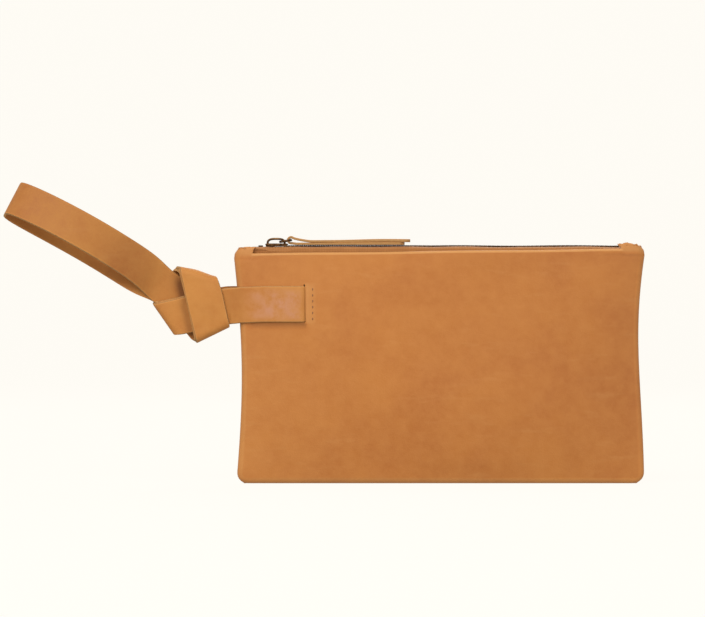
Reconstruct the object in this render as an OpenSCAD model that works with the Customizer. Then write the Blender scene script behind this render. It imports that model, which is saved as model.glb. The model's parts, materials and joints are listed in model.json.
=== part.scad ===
// Wristlet wallet: a flat zipped leather pouch with a knotted wrist strap.
// The pouch stands upright. X runs along the zip, Y from front to back, Z up.
// The origin is the middle of the bottom edge, and the front faces -Y.

/* [Pouch] */
// Width of the pouch at its top corners
pouch_w = 216; // [170:1:270]
// Height of the leather panels, up to their folded top edge
panel_h = 123; // [100:1:160]
// Thickness of the leather panels
leather_t = 1.3; // [1:0.1:1.6]
// Thickness of the pouch at its fullest point
belly = 19; // [17:0.5:26]
// Thickness of the pouch across the zip
mouth = 15.6; // [15.2:0.2:17]
// Thickness of the sewn sides and bottom
seam = 6.8; // [6:0.2:8]
// Radius of the bottom corners
corner_r = 6; // [3:0.5:12]
// Radius of the top corners
top_corner_r = 4; // [2:0.5:8]
// How far each side pulls in at half height
waist = 2.8; // [0:0.2:5]
// Depth of the leather turned in at the mouth
turn_in = 7; // [5:0.5:10]
// Thickness of the cotton lining
lining_t = 0.4; // [0.3:0.1:0.6]

/* [Zip] */
// Distance from each side of the pouch to the end of the row of teeth
zip_margin = 13; // [10:1:40]
// Distance from one tooth to the next on the same tape
tooth_pitch = 2.3; // [2:0.1:3]
// Width of the closed chain
chain_w = 5.2; // [4.6:0.1:6]
// Height of a tooth
tooth_h = 2; // [1.6:0.1:2.4]
// How far the teeth stand above the folded leather
zip_rise = 3.2; // [3:0.1:4]
// Thickness of the zip tape
tape_t = 0.5; // [0.4:0.1:0.6]
// How far the tape reaches down inside the leather
tape_drop = 14; // [10:1:20]

/* [Slider] */
// Length of the slider
slider_l = 12.2; // [10:0.2:14]
// Width of the slider at its nose
slider_w = 7.8; // [7:0.2:8]
// Thickness of each slider plate
plate_t = 0.8; // [0.6:0.1:1]
// Width of the bail that holds the ring
bail_w = 2.2; // [1.6:0.1:3]
// Wire diameter of the pull ring
ring_wire = 1.1; // [0.8:0.1:1.4]
// Length of the pull ring between its wire centres
ring_l = 5.9; // [5.5:0.1:8]
// Width of the pull ring between its wire centres
ring_w = 8.6; // [8:0.2:10]
// Radius of the pull ring's corners
ring_bend = 1.5; // [1.2:0.1:2]
// Length of the leather pull tab
tab_l = 64; // [40:1:75]
// Width of the pull tab
tab_w = 8; // [6:0.5:10]
// Thickness of each of the tab's two layers
tab_layer_t = 1.4; // [1:0.1:1.6]

/* [Strap] */
// Width of the strap
strap_w = 19.2; // [14:0.2:22]
// Thickness of the strap leather
strap_t = 1.35; // [1:0.05:1.6]
// Height of the strap's middle above the bottom edge
strap_z = 95; // [60:1:100]
// Length of strap that shows on each face of the pouch
anchor_l = 35.5; // [25:0.5:50]
// Length of strap inside the pouch, past the slit
tail_l = 8; // [6:0.5:12]
// Length of the wrist loop from its root to its far end
loop_l = 89; // [75:1:120]
// Gap between the two legs of the wrist loop
loop_gap = 30; // [20:1:50]
// Heading of the wrist loop, above level
loop_heading = 31; // [15:0.5:50]
// Roll of the loop about its own length
loop_roll = 17; // [0:1:30]

/* [Thread] */
// Diameter of the sewing thread
thread_d = 0.7; // [0.5:0.1:0.9]
// Distance from one stitch to the next
stitch_pitch = 3.1; // [2.6:0.1:4]

/* [Hidden] */

leather = "#be7a40";
cotton = "#cdb58d";
tape_brown = "#a9703b";
bronze = "#5b4636";
thread_tan = "#b98247";

clearance = 0.2;
swing_gap = 0.3;
least_room = 0.3;
half_w = pouch_w / 2;

// The pouch is fullest a little below half its height
full_z = 0.45 * panel_h;
// At the mouth the thickness holds nearly to the ends of the zip, lower down it rounds off
side_power_low = 2.4;
side_power_rise = 8;
side_softness = 0.6;

// A panel's columns and rows near a sewn edge: [distance from the edge, share of the thickness]
edge_columns = [[0, 0.01], [0.02, 0.5], [0.35, 0.8], [1.2, 1]];
edge_rows = [[0, 0.01], [0, 0.92], [0.3, 0.96], [1.2, 1]];
// How far the leather's top fold rounds in: [distance below the top, inset]
fold_rows = [[1.1, 0], [0.4, 0.3], [0, 1.0]];
column_steps = 9;
row_steps = 9;

function half_width(z) =
    half_w
    - waist * sin(180 * min(1, max(0, z / panel_h)))
    - corner_inset(z, corner_r)
    - corner_inset(panel_h - z, top_corner_r);

function corner_inset(d, r) = d >= r ? 0 : r - sqrt(max(0, r * r - (r - d) * (r - d)));

function fullness(z) =
    z < full_z
        ? 1 - pow(1 - z / full_z, 2)
        : 1 - (1 - (mouth - seam) / (belly - seam)) * pow((z - full_z) / (panel_h - full_z), 2);

function side_power(z) = side_power_low + side_power_rise * pow(z / panel_h, 4);

// Half the pouch's thickness at a point of its face
function half_thick(x, z) =
    seam / 2
    + (belly - seam) / 2 * fullness(z)
    * pow(max(0, 1 - pow(abs(x) / half_w, side_power(z))), side_softness);

// ---------- sheets ----------

function flat_list(rows) = [for (row = rows) each row];

// Faces of a closed sheet between two grids of m rows and n columns
function sheet_faces(m, n) =
    let (k = m * n)
    concat(
        [for (i = [0:m - 2], j = [0:n - 2]) each [
            [i * n + j, (i + 1) * n + j, (i + 1) * n + j + 1],
            [i * n + j, (i + 1) * n + j + 1, i * n + j + 1]
        ]],
        [for (i = [0:m - 2], j = [0:n - 2]) each [
            [k + i * n + j, k + (i + 1) * n + j + 1, k + (i + 1) * n + j],
            [k + i * n + j, k + i * n + j + 1, k + (i + 1) * n + j + 1]
        ]],
        [for (j = [0:n - 2]) each rim(j, j + 1, k)],
        [for (j = [0:n - 2]) each rim((m - 1) * n + j + 1, (m - 1) * n + j, k)],
        [for (i = [0:m - 2]) each rim((i + 1) * n, i * n, k)],
        [for (i = [0:m - 2]) each rim(i * n + n - 1, (i + 1) * n + n - 1, k)]
    );

function rim(a, b, k) = [[a, b, b + k], [a, b + k, a + k]];

function turned(faces) = [for (f = faces) [f[2], f[1], f[0]]];

// A closed sheet between two grids of points of the same size
module sheet(outer, inner, flip = false) {
    faces = sheet_faces(len(outer), len(outer[0]));
    polyhedron(points = concat(flat_list(outer), flat_list(inner)), faces = flip ? turned(faces) : faces);
}

// ---------- pouch ----------

// Columns as [share of the half width, share of the thickness], from the left edge to the right
columns = concat(
    [for (c = edge_columns) [c[0] / half_w - 1, c[1]]],
    [for (i = [1:2 * column_steps - 1])
        [-cos(90 * i / column_steps) * (1 - edge_columns[3][0] / half_w), 1]],
    [for (i = [3:-1:0]) [1 - edge_columns[i][0] / half_w, edge_columns[i][1]]]
);

// Rows as [height, share of the thickness, inset of the top fold]
function rows_to(top) = concat(
    [for (r = edge_rows) [r[0], r[1], 0]],
    [[corner_r / 2, 1, 0]],
    [for (i = [0:row_steps - 1])
        [corner_r + (panel_h - turn_in - corner_r) * i / (row_steps - 1), 1, 0]],
    [[panel_h - turn_in + 0.6, 1, 0]],
    [for (f = fold_rows) [top - f[0], 1, f[1]]]
);

// One surface of a panel or lining, set in by inset all round
function tray(rows, inset, mouth_inset) = [
    for (r = rows)
        let (
            z = inset + r[0] * (1 - inset / panel_h),
            w = half_width(r[0]) - inset,
            depth = inset + (r[0] > panel_h - turn_in ? mouth_inset : 0)
        )
        [for (c = columns)
            let (x = w * c[0])
            [x, -c[1] * r[1] * max(least_room, half_thick(x, z) - depth - r[2]), z]]
];

module panel() {
    rows = rows_to(panel_h);
    inner_rows = [for (r = rows) [r[0], r[1], -r[2] * 0.9]];
    difference() {
        sheet(tray(rows, 0, 0), tray(inner_rows, leather_t, leather_t));
        strap_slit();
    }
}

slit_x = -half_width(strap_z) + anchor_l;
slit_w = 2;

module strap_slit() {
    translate([slit_x - slit_w / 2, -belly, strap_z - strap_w / 2 - 0.4])
        cube([slit_w, belly, strap_w + 0.8]);
}

module front_panel() {
    color(leather) panel();
}

module back_panel() {
    color(leather) mirror([0, 1, 0]) panel();
}

// The lining clears the strap's tail, the turned-in leather and the tape
lining_inset = 2 * leather_t + tape_t + 3 * clearance;
lining_drop = 2;

module lining() {
    rows = [for (r = rows_to(panel_h - lining_drop)) [r[0], r[1], 0]];
    sheet(tray(rows, lining_inset, 0), tray(rows, lining_inset + lining_t, 0));
}

module lining_front() {
    color(cotton) lining();
}

module lining_back() {
    color(cotton) mirror([0, 1, 0]) lining();
}

// ---------- zip ----------

chain_top = panel_h + zip_rise;
tooth_z = chain_top - tooth_h;
tape_z = chain_top - tooth_h / 2;
chain_l = pouch_w - 2 * zip_margin;
tooth_count = floor(chain_l / tooth_pitch);
chain_x = -chain_l / 2 + 1;
tooth_gap = 0.06;
tooth_l = tooth_pitch / 2 - tooth_gap;
jaw = 0.9;
head_reach = 0.9;
tape_edge = chain_w / 2 - jaw;
tape_run = chain_l / 2 + 5;

// How far the tape's inner length stands from the middle plane
function tape_wall(x, z) = half_thick(x, z) - 2 * leather_t - clearance - tape_t / 2;

// Across the tape: [y, z] from the tooth slot, over the shoulder and down inside the leather
function tape_line(x, side) =
    let (s = side * tape_t / 2, shoulder = slider_w / 2 + clearance)
    concat(
        [
            [tape_edge, tape_z + s],
            [shoulder, tape_z + s],
            [shoulder + 0.4 + 0.7 * s, tape_z - 0.3 + 0.7 * s]
        ],
        [for (i = [0:4])
            let (z = panel_h - 0.6 - i * (tape_drop - 0.6) / 4)
            [tape_wall(x, z) + s, z]]
    );

tape_stations = [for (i = [-10:10]) tape_run * i / 10];

module tape() {
    sheet(
        [for (x = tape_stations) [for (p = tape_line(x, 1)) [x, -p[0], p[1]]]],
        [for (x = tape_stations) [for (p = tape_line(x, -1)) [x, -p[0], p[1]]]]
    );
}

module zip_tape_front() {
    color(tape_brown) tape();
}

module zip_tape_back() {
    color(tape_brown) mirror([0, 1, 0]) tape();
}

// One tooth: a head past the middle line and two jaws that grip the tape
module tooth() {
    slot = tape_t / 2 + 0.03;
    mid = tooth_h / 2;
    rotate([90, 0, 90])
        linear_extrude(tooth_l)
            polygon([
                [-chain_w / 2, 0.25], [-chain_w / 2 + 0.3, 0], [head_reach - 0.4, 0], [head_reach, 0.5],
                [head_reach, tooth_h - 0.5], [head_reach - 0.4, tooth_h], [-chain_w / 2 + 0.3, tooth_h],
                [-chain_w / 2, tooth_h - 0.25], [-chain_w / 2, mid + slot], [-tape_edge + 0.05, mid + slot],
                [-tape_edge + 0.05, mid - slot], [-chain_w / 2, mid - slot]
            ]);
}

// The first teeth lie past the slider's wedge, where the two rows have come together
first_x = chain_x + 2 + slider_l;
closed_count = floor((chain_x + chain_l - 3 - first_x) / tooth_pitch);

module tooth_row(shift) {
    for (i = [0:closed_count - 1])
        translate([first_x + shift + i * tooth_pitch, 0, tooth_z])
            tooth();
}

module zip_teeth_front() {
    color(bronze) tooth_row(0);
}

module zip_teeth_back() {
    color(bronze) mirror([0, 1, 0]) tooth_row(tooth_pitch / 2);
}

module stop_clamp(length, inner, outer) {
    difference() {
        translate([0, -outer, tape_z - tooth_h / 2])
            cube([length, outer - inner, tooth_h]);
        translate([-1, -outer - 1, tape_z - tape_t / 2 - 0.03])
            cube([length + 2, outer + 1 - tape_edge + 0.05, tape_t + 0.06]);
    }
}

module zip_top_stops() {
    color(bronze)
        for (side = [0, 1])
            mirror([0, side, 0])
                translate([chain_x - 1.6, 0, 0])
                    stop_clamp(2.4, 0.5, chain_w / 2);
}

module zip_bottom_stop() {
    x = first_x + closed_count * tooth_pitch + 0.6;
    color(bronze)
        difference() {
            translate([x, -chain_w / 2, tape_z - tooth_h / 2])
                cube([2.6, chain_w, tooth_h]);
            for (side = [0, 1])
                mirror([0, side, 0])
                    translate([x - 1, -chain_w / 2 - 1, tape_z - tape_t / 2 - 0.03])
                        cube([4.6, chain_w / 2 + 1 - tape_edge + 0.05, tape_t + 0.06]);
        }
}

// ---------- slider ----------

slider_x = chain_x + 2;
plate_gap = 0.2;
plate_top = chain_top + plate_gap + plate_t;
plate_bottom = tooth_z - plate_gap - plate_t;
tail_w = slider_w - 1.4;
flange_t = 0.55;
slot_half = tape_t / 2 + 0.25;

// The plan of a slider plate: wide at the nose, narrower at the tail
module plate_plan() {
    hull() {
        for (side = [-1, 1]) {
            translate([1.6, side * (slider_w / 2 - 1.6)])
                circle(1.6, $fn = 24);
            translate([slider_l - 1, side * (tail_w / 2 - 1)])
                circle(1, $fn = 24);
        }
    }
}

module flanges(z, height) {
    translate([0, 0, z])
        linear_extrude(height)
            for (side = [-1, 1])
                polygon([
                    [2.2, side * slider_w / 2], [slider_l - 0.6, side * tail_w / 2],
                    [slider_l - 0.6, side * (tail_w / 2 - flange_t)], [2.2, side * (slider_w / 2 - flange_t)]
                ]);
}

module slider_body() {
    color(bronze)
        translate([slider_x, 0, 0]) {
            translate([0, 0, plate_top - plate_t])
                linear_extrude(plate_t)
                    plate_plan();
            translate([0, 0, plate_bottom])
                linear_extrude(plate_t)
                    plate_plan();
            // the wedge that parts the two rows of teeth
            translate([0, 0, plate_bottom + plate_t])
                linear_extrude(plate_top - plate_bottom - 2 * plate_t)
                    polygon([[0.2, -0.8], [0.2, 0.8], [2.6, 1], [5.2, 0], [2.6, -1]]);
            flanges(plate_bottom + plate_t, tape_z - slot_half - plate_bottom - plate_t);
            flanges(tape_z + slot_half, plate_top - plate_t - tape_z - slot_half);
        }
}

bail_in = 1.7;
bail_out = slider_l - 1.9;
bail_t = 0.9;
bail_room = ring_wire + 0.6;

// The bail is a low arch standing on the top plate
module slider_bail() {
    arch_l = bail_out - bail_in;
    color(bronze)
        translate([slider_x + bail_in, bail_w / 2, plate_top])
            rotate([90, 0, 0])
                linear_extrude(bail_w)
                    polygon([
                        [0, 0], [0.2, bail_room * 0.55], [1.3, bail_room + bail_t * 0.8],
                        [arch_l / 2 - 1, bail_room + bail_t], [arch_l / 2 + 1, bail_room + bail_t],
                        [arch_l - 1.3, bail_room + bail_t * 0.8], [arch_l - 0.2, bail_room * 0.55], [arch_l, 0],
                        [arch_l - bail_t, 0], [arch_l - bail_t, bail_room * 0.6],
                        [arch_l - 1.9, bail_room], [1.9, bail_room], [bail_t, bail_room * 0.6], [bail_t, 0]
                    ]);
}

// The ring's near wire hangs in the bail, and its far wire holds the tab
ring_x = slider_x + bail_out - 2.4;
ring_z = plate_top + bail_room / 2;
ring_tilt = 9;
tab_x = ring_x + ring_l * cos(ring_tilt);
tab_z = ring_z + ring_l * sin(ring_tilt);

// The ring is a wire bent to a rounded rectangle
module pull_ring() {
    run_x = ring_l - 2 * ring_bend;
    run_y = ring_w - 2 * ring_bend;
    color(bronze)
        translate([ring_x, 0, ring_z])
            rotate([0, -ring_tilt, 0])
                translate([ring_l / 2, 0, 0])
                    for (quarter = [0:3])
                        let (
                            across = quarter % 2 == 0 ? run_x : run_y,
                            along = quarter % 2 == 0 ? run_y : run_x
                        )
                        rotate([0, 0, 90 * quarter]) {
                            translate([across / 2, along / 2, 0])
                                rotate_extrude(angle = 90, $fn = 48)
                                    translate([ring_bend, 0])
                                        circle(d = ring_wire, $fn = 24);
                            translate([across / 2 + ring_bend, 0, 0])
                                rotate([90, 0, 0])
                                    cylinder(h = along, d = ring_wire, center = true, $fn = 24);
                        }
}

eye_in = ring_wire / 2 + 0.35;
eye_out = eye_in + tab_layer_t - 0.1;
tab_lift = 0.3;
tab_low = chain_top + tab_lift;
tab_neck = 4.4;
eye_w = min(tab_w, ring_w - 2 * ring_bend - clearance);

// The tab is one strip folded round the ring and glued back on itself
module tab_side_view() {
    end_x = tab_l - eye_out;
    polygon([
        [-0.2, eye_out - 0.02], [eye_out + tab_neck, tab_low + 2 * tab_layer_t - tab_z],
        [end_x - 1.2, tab_low + 2 * tab_layer_t - tab_z], [end_x, tab_low + tab_layer_t * 1.3 - tab_z],
        [end_x - 0.6, tab_low - tab_z], [eye_out - 0.2, tab_low - tab_z], [eye_in, -eye_in]
    ]);
}

module tab_eye(r, width) {
    cylinder(h = width, r = r, center = true, $fn = 48);
}

module tab_plan() {
    end_x = tab_x + tab_l - eye_out;
    hull() {
        translate([tab_x - 1, -eye_w / 2])
            square([4, eye_w]);
        translate([tab_x + 12, -tab_w / 2])
            square([1, tab_w]);
        translate([end_x - tab_w / 2, 0])
            circle(d = tab_w, $fn = 48);
    }
}

module pull_tab() {
    color(leather)
        difference() {
            union() {
                intersection() {
                    translate([tab_x, 0, tab_z])
                        rotate([90, 0, 0])
                            linear_extrude(tab_w, center = true)
                                tab_side_view();
                    translate([0, 0, chain_top - 5])
                        linear_extrude(20)
                            tab_plan();
                }
                translate([tab_x, 0, tab_z])
                    rotate([90, 0, 0])
                        tab_eye(eye_out, eye_w);
            }
            translate([tab_x, 0, tab_z])
                rotate([90, 0, 0])
                    tab_eye(eye_in, tab_w + 2);
        }
}

// ---------- strap ----------

neck_r = strap_t + 0.05;
neck_gap = 1.2;
neck_x = -half_width(strap_z) - neck_r - neck_gap;
strap_low = strap_z - strap_w / 2;
strap_lay = 0.1;

// A point of the strap's end at height z: x and how far its middle stands off the panel's face
function anchor_point(x, off, z) = [x, -(half_thick(x, z) + off), z];

// Stations of the strap's end from the tail inside the pouch to the sewn edge: [x, stand-off]
anchor_in = -leather_t - strap_lay - strap_t / 2;
anchor_out = strap_lay + strap_t / 2;
edge_x = -half_width(strap_z);
anchor_stations = concat(
    [for (i = [0:2]) [slit_x + tail_l - i * (tail_l - 1.4) / 2, anchor_in]],
    [[slit_x + 0.5, anchor_in * 0.6], [slit_x - 0.5, anchor_out * 0.3]],
    [for (i = [0:8]) [slit_x - 1.5 - i * (anchor_l - 3.6) / 8, anchor_out]],
    [[edge_x - 0.2, -0.1], [edge_x - 1.2, -0.9]]
);

// Turns from one station to the next, so that the sheet keeps its thickness round the bends
function heading(i) =
    let (
        a = anchor_stations[max(0, i - 1)],
        b = anchor_stations[min(len(anchor_stations) - 1, i + 1)]
    )
    atan2(b[1] - a[1], a[0] - b[0]);

function anchor_face(side) = [
    for (i = [0:len(anchor_stations) - 1])
        let (
            s = anchor_stations[i],
            h = heading(i),
            x = s[0] + side * strap_t / 2 * sin(h),
            off = s[1] + side * strap_t / 2 * cos(h)
        )
        [for (k = [0:4]) anchor_point(x, off, strap_low + strap_w * k / 4)]
];

module strap_end() {
    sheet(anchor_face(1), anchor_face(-1), flip = true);
}

module strap_front_end() {
    color(leather) strap_end();
}

module strap_back_end() {
    color(leather) mirror([0, 1, 0]) strap_end();
}

// Outlines of the knot's layers as [x, z] from the strap's root on the pouch's edge
knot_front = [[-30, 19], [-12, 14.5], [-2.6, -9.5], [-20.4, -20]];
knot_middle = [[-12, 9.6], [-12, -9.6], [-24, -14.5], [-31, -15], [-37, -7.5], [-43.5, 1], [-34, 16], [-28, 17.5]];
knot_back = [[-30, 18.5], [-14, 11], [-16, -8], [-22, -18], [-34, -3], [-37, 8]];
knot_half = 7.2;
layer = 2.9;

module knot_layer(outline, low, high) {
    translate([neck_x, high, strap_z])
        rotate([90, 0, 0])
            linear_extrude(high - low)
                polygon(outline);
}

// A band of the knot, rounded towards its face
module knot_band(outline, face, root) {
    hull() {
        knot_layer(outline, min(root, (root + face) / 2), max(root, (root + face) / 2));
        translate([neck_x, face, strap_z])
            rotate([90, 0, 0])
                linear_extrude(0.2, center = true)
                    offset(delta = -2)
                        polygon(outline);
    }
}

// The doubled strap from the pouch's edge into the knot, with a round root that turns
module strap_neck() {
    color(leather) {
        translate([neck_x, 0, strap_low])
            cylinder(h = strap_w, r = neck_r, $fn = 32);
        translate([neck_x - 12, -strap_t, strap_low])
            cube([12, 2 * strap_t, strap_w]);
    }
}

module strap_knot() {
    color(leather) {
        knot_layer(knot_middle, -layer, layer);
        knot_band(knot_front, -knot_half, -layer);
        knot_band(knot_back, knot_half, layer);
        loop_stub();
    }
}

// Where the wrist loop leaves the knot, [x, z]
loop_root = [neck_x - 41.1, strap_z + 11.5];
root_r = strap_t + 0.05;

// The legs leave the root together, part, and come round at the far end
function legs_part(s) = 1 - exp(-pow(s / 9, 2));

function loop_depth(turn) =
    let (s = loop_l * (1 - cos(turn)) / 2)
    loop_gap / 2 * sin(turn) * legs_part(s) + (strap_t / 2 + 0.05) * cos(turn / 2);

function roll_at(s) = loop_roll * legs_part(s * 0.7);

// A point of the loop: turn runs 0 to 360 round it, across is along the strap's width,
// and side is 1 on the outer face and -1 on the inner one
function loop_point(turn, across, side) =
    let (
        step = 1,
        s = loop_l * (1 - cos(turn)) / 2,
        d = loop_depth(turn),
        ds = loop_l * (cos(turn - step) - cos(turn + step)) / 2,
        dd = loop_depth(min(360, turn + step)) - loop_depth(max(0, turn - step)),
        n = norm([ds, dd]),
        along = s - side * strap_t / 2 * dd / n,
        deep = d + side * strap_t / 2 * ds / n,
        r = roll_at(s),
        up = across * cos(r) + deep * sin(r),
        y = across * sin(r) - deep * cos(r)
    )
    [
        loop_root[0] - along * cos(loop_heading) + up * sin(loop_heading),
        y,
        loop_root[1] + along * sin(loop_heading) + up * cos(loop_heading)
    ];

loop_start = 14;
loop_steps = 34;

function loop_face(side) = [
    for (i = [0:loop_steps])
        let (turn = loop_start + (360 - 2 * loop_start) * i / loop_steps)
        [for (k = [-1, 0, 1]) loop_point(turn, k * strap_w / 2, side)]
];

// The loop turns on a round root, as the leather does where it leaves the knot
module at_loop_root() {
    translate([loop_root[0], 0, loop_root[1]])
        rotate([0, loop_heading, 0])
            children();
}

module wrist_loop() {
    color(leather) {
        sheet(loop_face(1), loop_face(-1));
        at_loop_root() {
            cylinder(h = strap_w, r = root_r, center = true, $fn = 32);
            translate([-2.4, -strap_t, -strap_w / 2])
                cube([2.4, 2 * strap_t, strap_w]);
        }
    }
}

module loop_stub() {
    at_loop_root()
        difference() {
            translate([0, -strap_t, -strap_w / 2])
                cube([9, 2 * strap_t, strap_w]);
            cylinder(h = strap_w + 2, r = root_r + swing_gap, center = true, $fn = 32);
        }
}

// ---------- stitches ----------

// One stitch seen from outside: a short bar with round ends, lying along Z
module stitch(length) {
    translate([0, 0, thread_d / 2])
        cylinder(h = length - thread_d, d = thread_d, $fn = 12);
}

strap_stitch_x = slit_x + 3.4;
strap_stitch_count = floor(strap_w / stitch_pitch);
strap_stitch_l = stitch_pitch - 0.8;

module strap_stitch_row() {
    first = strap_z - strap_stitch_count * stitch_pitch / 2 + 0.4;
    for (i = [0:strap_stitch_count - 1])
        let (z = first + i * stitch_pitch)
        translate([
            strap_stitch_x,
            -half_thick(strap_stitch_x, z + strap_stitch_l / 2) - thread_d / 2 + 0.05,
            z
        ])
            stitch(strap_stitch_l);
}

module strap_stitches_front() {
    color(thread_tan) strap_stitch_row();
}

module strap_stitches_back() {
    color(thread_tan) mirror([0, 1, 0]) strap_stitch_row();
}

// Stitches that hold the two panels together, through their edges
module through_stitch(reach) {
    rotate([90, 0, 0])
        cylinder(h = 2 * reach, d = thread_d, center = true, $fn = 12);
}

seam_reach = seam * 0.22;

module side_seam_stitches() {
    count = floor((panel_h - corner_r - turn_in) / stitch_pitch);
    color(thread_tan)
        for (side = [-1, 1], i = [0:count - 1])
            let (z = corner_r + (i + 0.5) * stitch_pitch)
            translate([side * (half_width(z) - leather_t / 2), 0, z])
                through_stitch(seam_reach);
}

module bottom_seam_stitches() {
    count = floor((pouch_w - 2 * corner_r) / stitch_pitch);
    color(thread_tan)
        for (i = [0:count - 1])
            translate([(i - (count - 1) / 2) * stitch_pitch, 0, leather_t / 2])
                through_stitch(seam_reach);
}

// Stitches that hold the turned-in leather and the tape together
module mouth_stitch_row() {
    z = panel_h - 4;
    count = floor(chain_l / stitch_pitch);
    for (i = [0:count - 1])
        let (x = (i - (count - 1) / 2) * stitch_pitch)
        translate([x, -half_thick(x, z) + 2 * leather_t - 0.6, z])
            rotate([-90, 0, 0])
                cylinder(h = 0.6 + clearance + tape_t, d = thread_d, $fn = 8);
}

module mouth_stitches_front() {
    color(thread_tan) mouth_stitch_row();
}

module mouth_stitches_back() {
    color(thread_tan) mirror([0, 1, 0]) mouth_stitch_row();
}

front_panel();
back_panel();
lining_front();
lining_back();
zip_tape_front();
zip_tape_back();
zip_teeth_front();
zip_teeth_back();
zip_top_stops();
zip_bottom_stop();
slider_body();
slider_bail();
pull_ring();
pull_tab();
strap_front_end();
strap_back_end();
strap_neck();
strap_knot();
wrist_loop();
strap_stitches_front();
strap_stitches_back();
side_seam_stitches();
bottom_seam_stitches();
mouth_stitches_front();
mouth_stitches_back();
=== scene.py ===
"""Wristlet wallet: a zipped pouch of waxed tan leather with a knotted wrist strap.

The pouch stands on its bottom seam.  X runs along the zip, Y from front to back and Z up, and the
origin is the middle of the bottom seam.  Sizes are in millimetres until a mesh is made from them.
"""

from __future__ import annotations

import json
import logging
import math
from dataclasses import dataclass, field
from enum import Enum
from typing import Any, Mapping, Sequence

import bmesh
import bpy
import numpy as np
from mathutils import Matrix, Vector

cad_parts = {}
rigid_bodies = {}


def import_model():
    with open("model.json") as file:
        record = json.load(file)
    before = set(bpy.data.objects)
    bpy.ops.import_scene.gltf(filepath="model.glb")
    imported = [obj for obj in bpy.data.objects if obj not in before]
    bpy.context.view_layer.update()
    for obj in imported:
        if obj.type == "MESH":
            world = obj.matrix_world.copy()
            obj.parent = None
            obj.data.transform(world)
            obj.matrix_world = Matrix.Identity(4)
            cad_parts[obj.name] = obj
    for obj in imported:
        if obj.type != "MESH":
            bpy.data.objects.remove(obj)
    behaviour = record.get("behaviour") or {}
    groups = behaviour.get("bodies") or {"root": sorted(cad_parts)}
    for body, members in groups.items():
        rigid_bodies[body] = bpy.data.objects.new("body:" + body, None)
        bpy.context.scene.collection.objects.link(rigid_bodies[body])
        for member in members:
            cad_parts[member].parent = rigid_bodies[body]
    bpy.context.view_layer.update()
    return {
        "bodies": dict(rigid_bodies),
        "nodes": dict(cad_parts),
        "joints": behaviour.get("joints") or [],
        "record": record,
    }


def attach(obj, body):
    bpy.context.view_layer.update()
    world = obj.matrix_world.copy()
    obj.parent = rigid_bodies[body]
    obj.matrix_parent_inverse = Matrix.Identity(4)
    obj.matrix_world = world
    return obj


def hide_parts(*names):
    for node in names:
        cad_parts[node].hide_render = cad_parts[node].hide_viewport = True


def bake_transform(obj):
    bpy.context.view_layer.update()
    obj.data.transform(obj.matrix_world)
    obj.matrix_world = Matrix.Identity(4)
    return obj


LOG = logging.getLogger("wallet")
MM = 0.001

# Sockets of the colour mix node, which has several that share a name
MIX_A, MIX_B, MIX_OUT = 6, 7, 2


class Slot(Enum):
    """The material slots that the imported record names."""

    PANEL = "panel_leather"
    STRAP = "strap_leather"
    LINING = "lining_cotton"
    TAPE = "zip_tape"
    METAL = "zip_metal"
    SLIDER = "slider_bronze"
    THREAD = "thread"


class Side(Enum):
    """A face of the object, and the sign of Y on it."""

    FRONT = -1
    BACK = 1

    @property
    def sign(self) -> int:
        """The face as -1 or 1."""
        return self.value

    def named(self, stem: str) -> str:
        """A piece's name with the front or back that it belongs to."""
        return f"{stem}_{self.name.lower()}"


# ---------------------------------------------------------------- small tools


def linear(code: str) -> tuple[float, float, float, float]:
    """Turns an sRGB colour into a linear one.

    Args:
        code: the colour as "#rrggbb".

    Returns:
        Red, green, blue and alpha from 0 to 1.
    """
    parts = [int(code[i : i + 2], 16) / 255 for i in (1, 3, 5)]
    r, g, b = (p / 12.92 if p <= 0.04045 else ((p + 0.055) / 1.055) ** 2.4 for p in parts)
    return r, g, b, 1.0


def per_mm(size: float) -> float:
    """The scale of a texture node whose pattern repeats about every size millimetres."""
    return 1.0 / (size * MM)


def band_scale(repeat_mm: float) -> float:
    """The scale of a wave node whose bands repeat so many mm apart: 20 / 2 pi times a unit of scale."""
    return per_mm(repeat_mm) * 2 * math.pi / 20


def ease(low: float, high: float, value: Any) -> Any:
    """Eases from 0 at low to 1 at high.

    Args:
        low: where the rise starts.
        high: where it ends; it may be below low.
        value: a number or an array.

    Returns:
        The share, of the same kind as value.
    """
    share = np.clip((np.asarray(value, float) - low) / (high - low), 0.0, 1.0)
    return share * share * (3.0 - 2.0 * share)


def bump_at(value: Any, centre: float, width: float) -> Any:
    """A smooth hump of height 1 at centre, whose half width is about width."""
    return np.exp(-(((np.asarray(value, float) - centre) / width) ** 2))


def hermite(p0: np.ndarray, m0: np.ndarray, p1: np.ndarray, m1: np.ndarray, t: np.ndarray) -> np.ndarray:
    """Points of a smooth curve between two points.

    Args:
        p0: where it starts.
        m0: its direction there, as long as it is strong.
        p1: where it ends.
        m1: its direction there.
        t: shares of the way, from 0 to 1.

    Returns:
        One point for each share.
    """
    t = t[:, None]
    return (
        (2 * t**3 - 3 * t**2 + 1) * p0
        + (t**3 - 2 * t**2 + t) * m0
        + (-2 * t**3 + 3 * t**2) * p1
        + (t**3 - t**2) * m1
    )


def add_node(
    tree: bpy.types.NodeTree, kind: str, links: Mapping[Any, Any] | None = None, **settings: Any
) -> bpy.types.Node:
    """Adds one node with its settings and fills its sockets.

    Args:
        tree: the node tree that takes it.
        kind: the node's type.
        links: what goes into each socket, by name or number: another node's output or a value.
        settings: the node's own properties.

    Returns:
        The new node.
    """
    node = tree.nodes.new(kind)
    for key, value in settings.items():
        setattr(node, key, value)
    for key, value in (links or {}).items():
        socket = node.inputs[key]
        if isinstance(value, bpy.types.NodeSocket):
            tree.links.new(value, socket)
        else:
            socket.default_value = value
    return node


# ---------------------------------------------------------------- meshes


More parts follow.
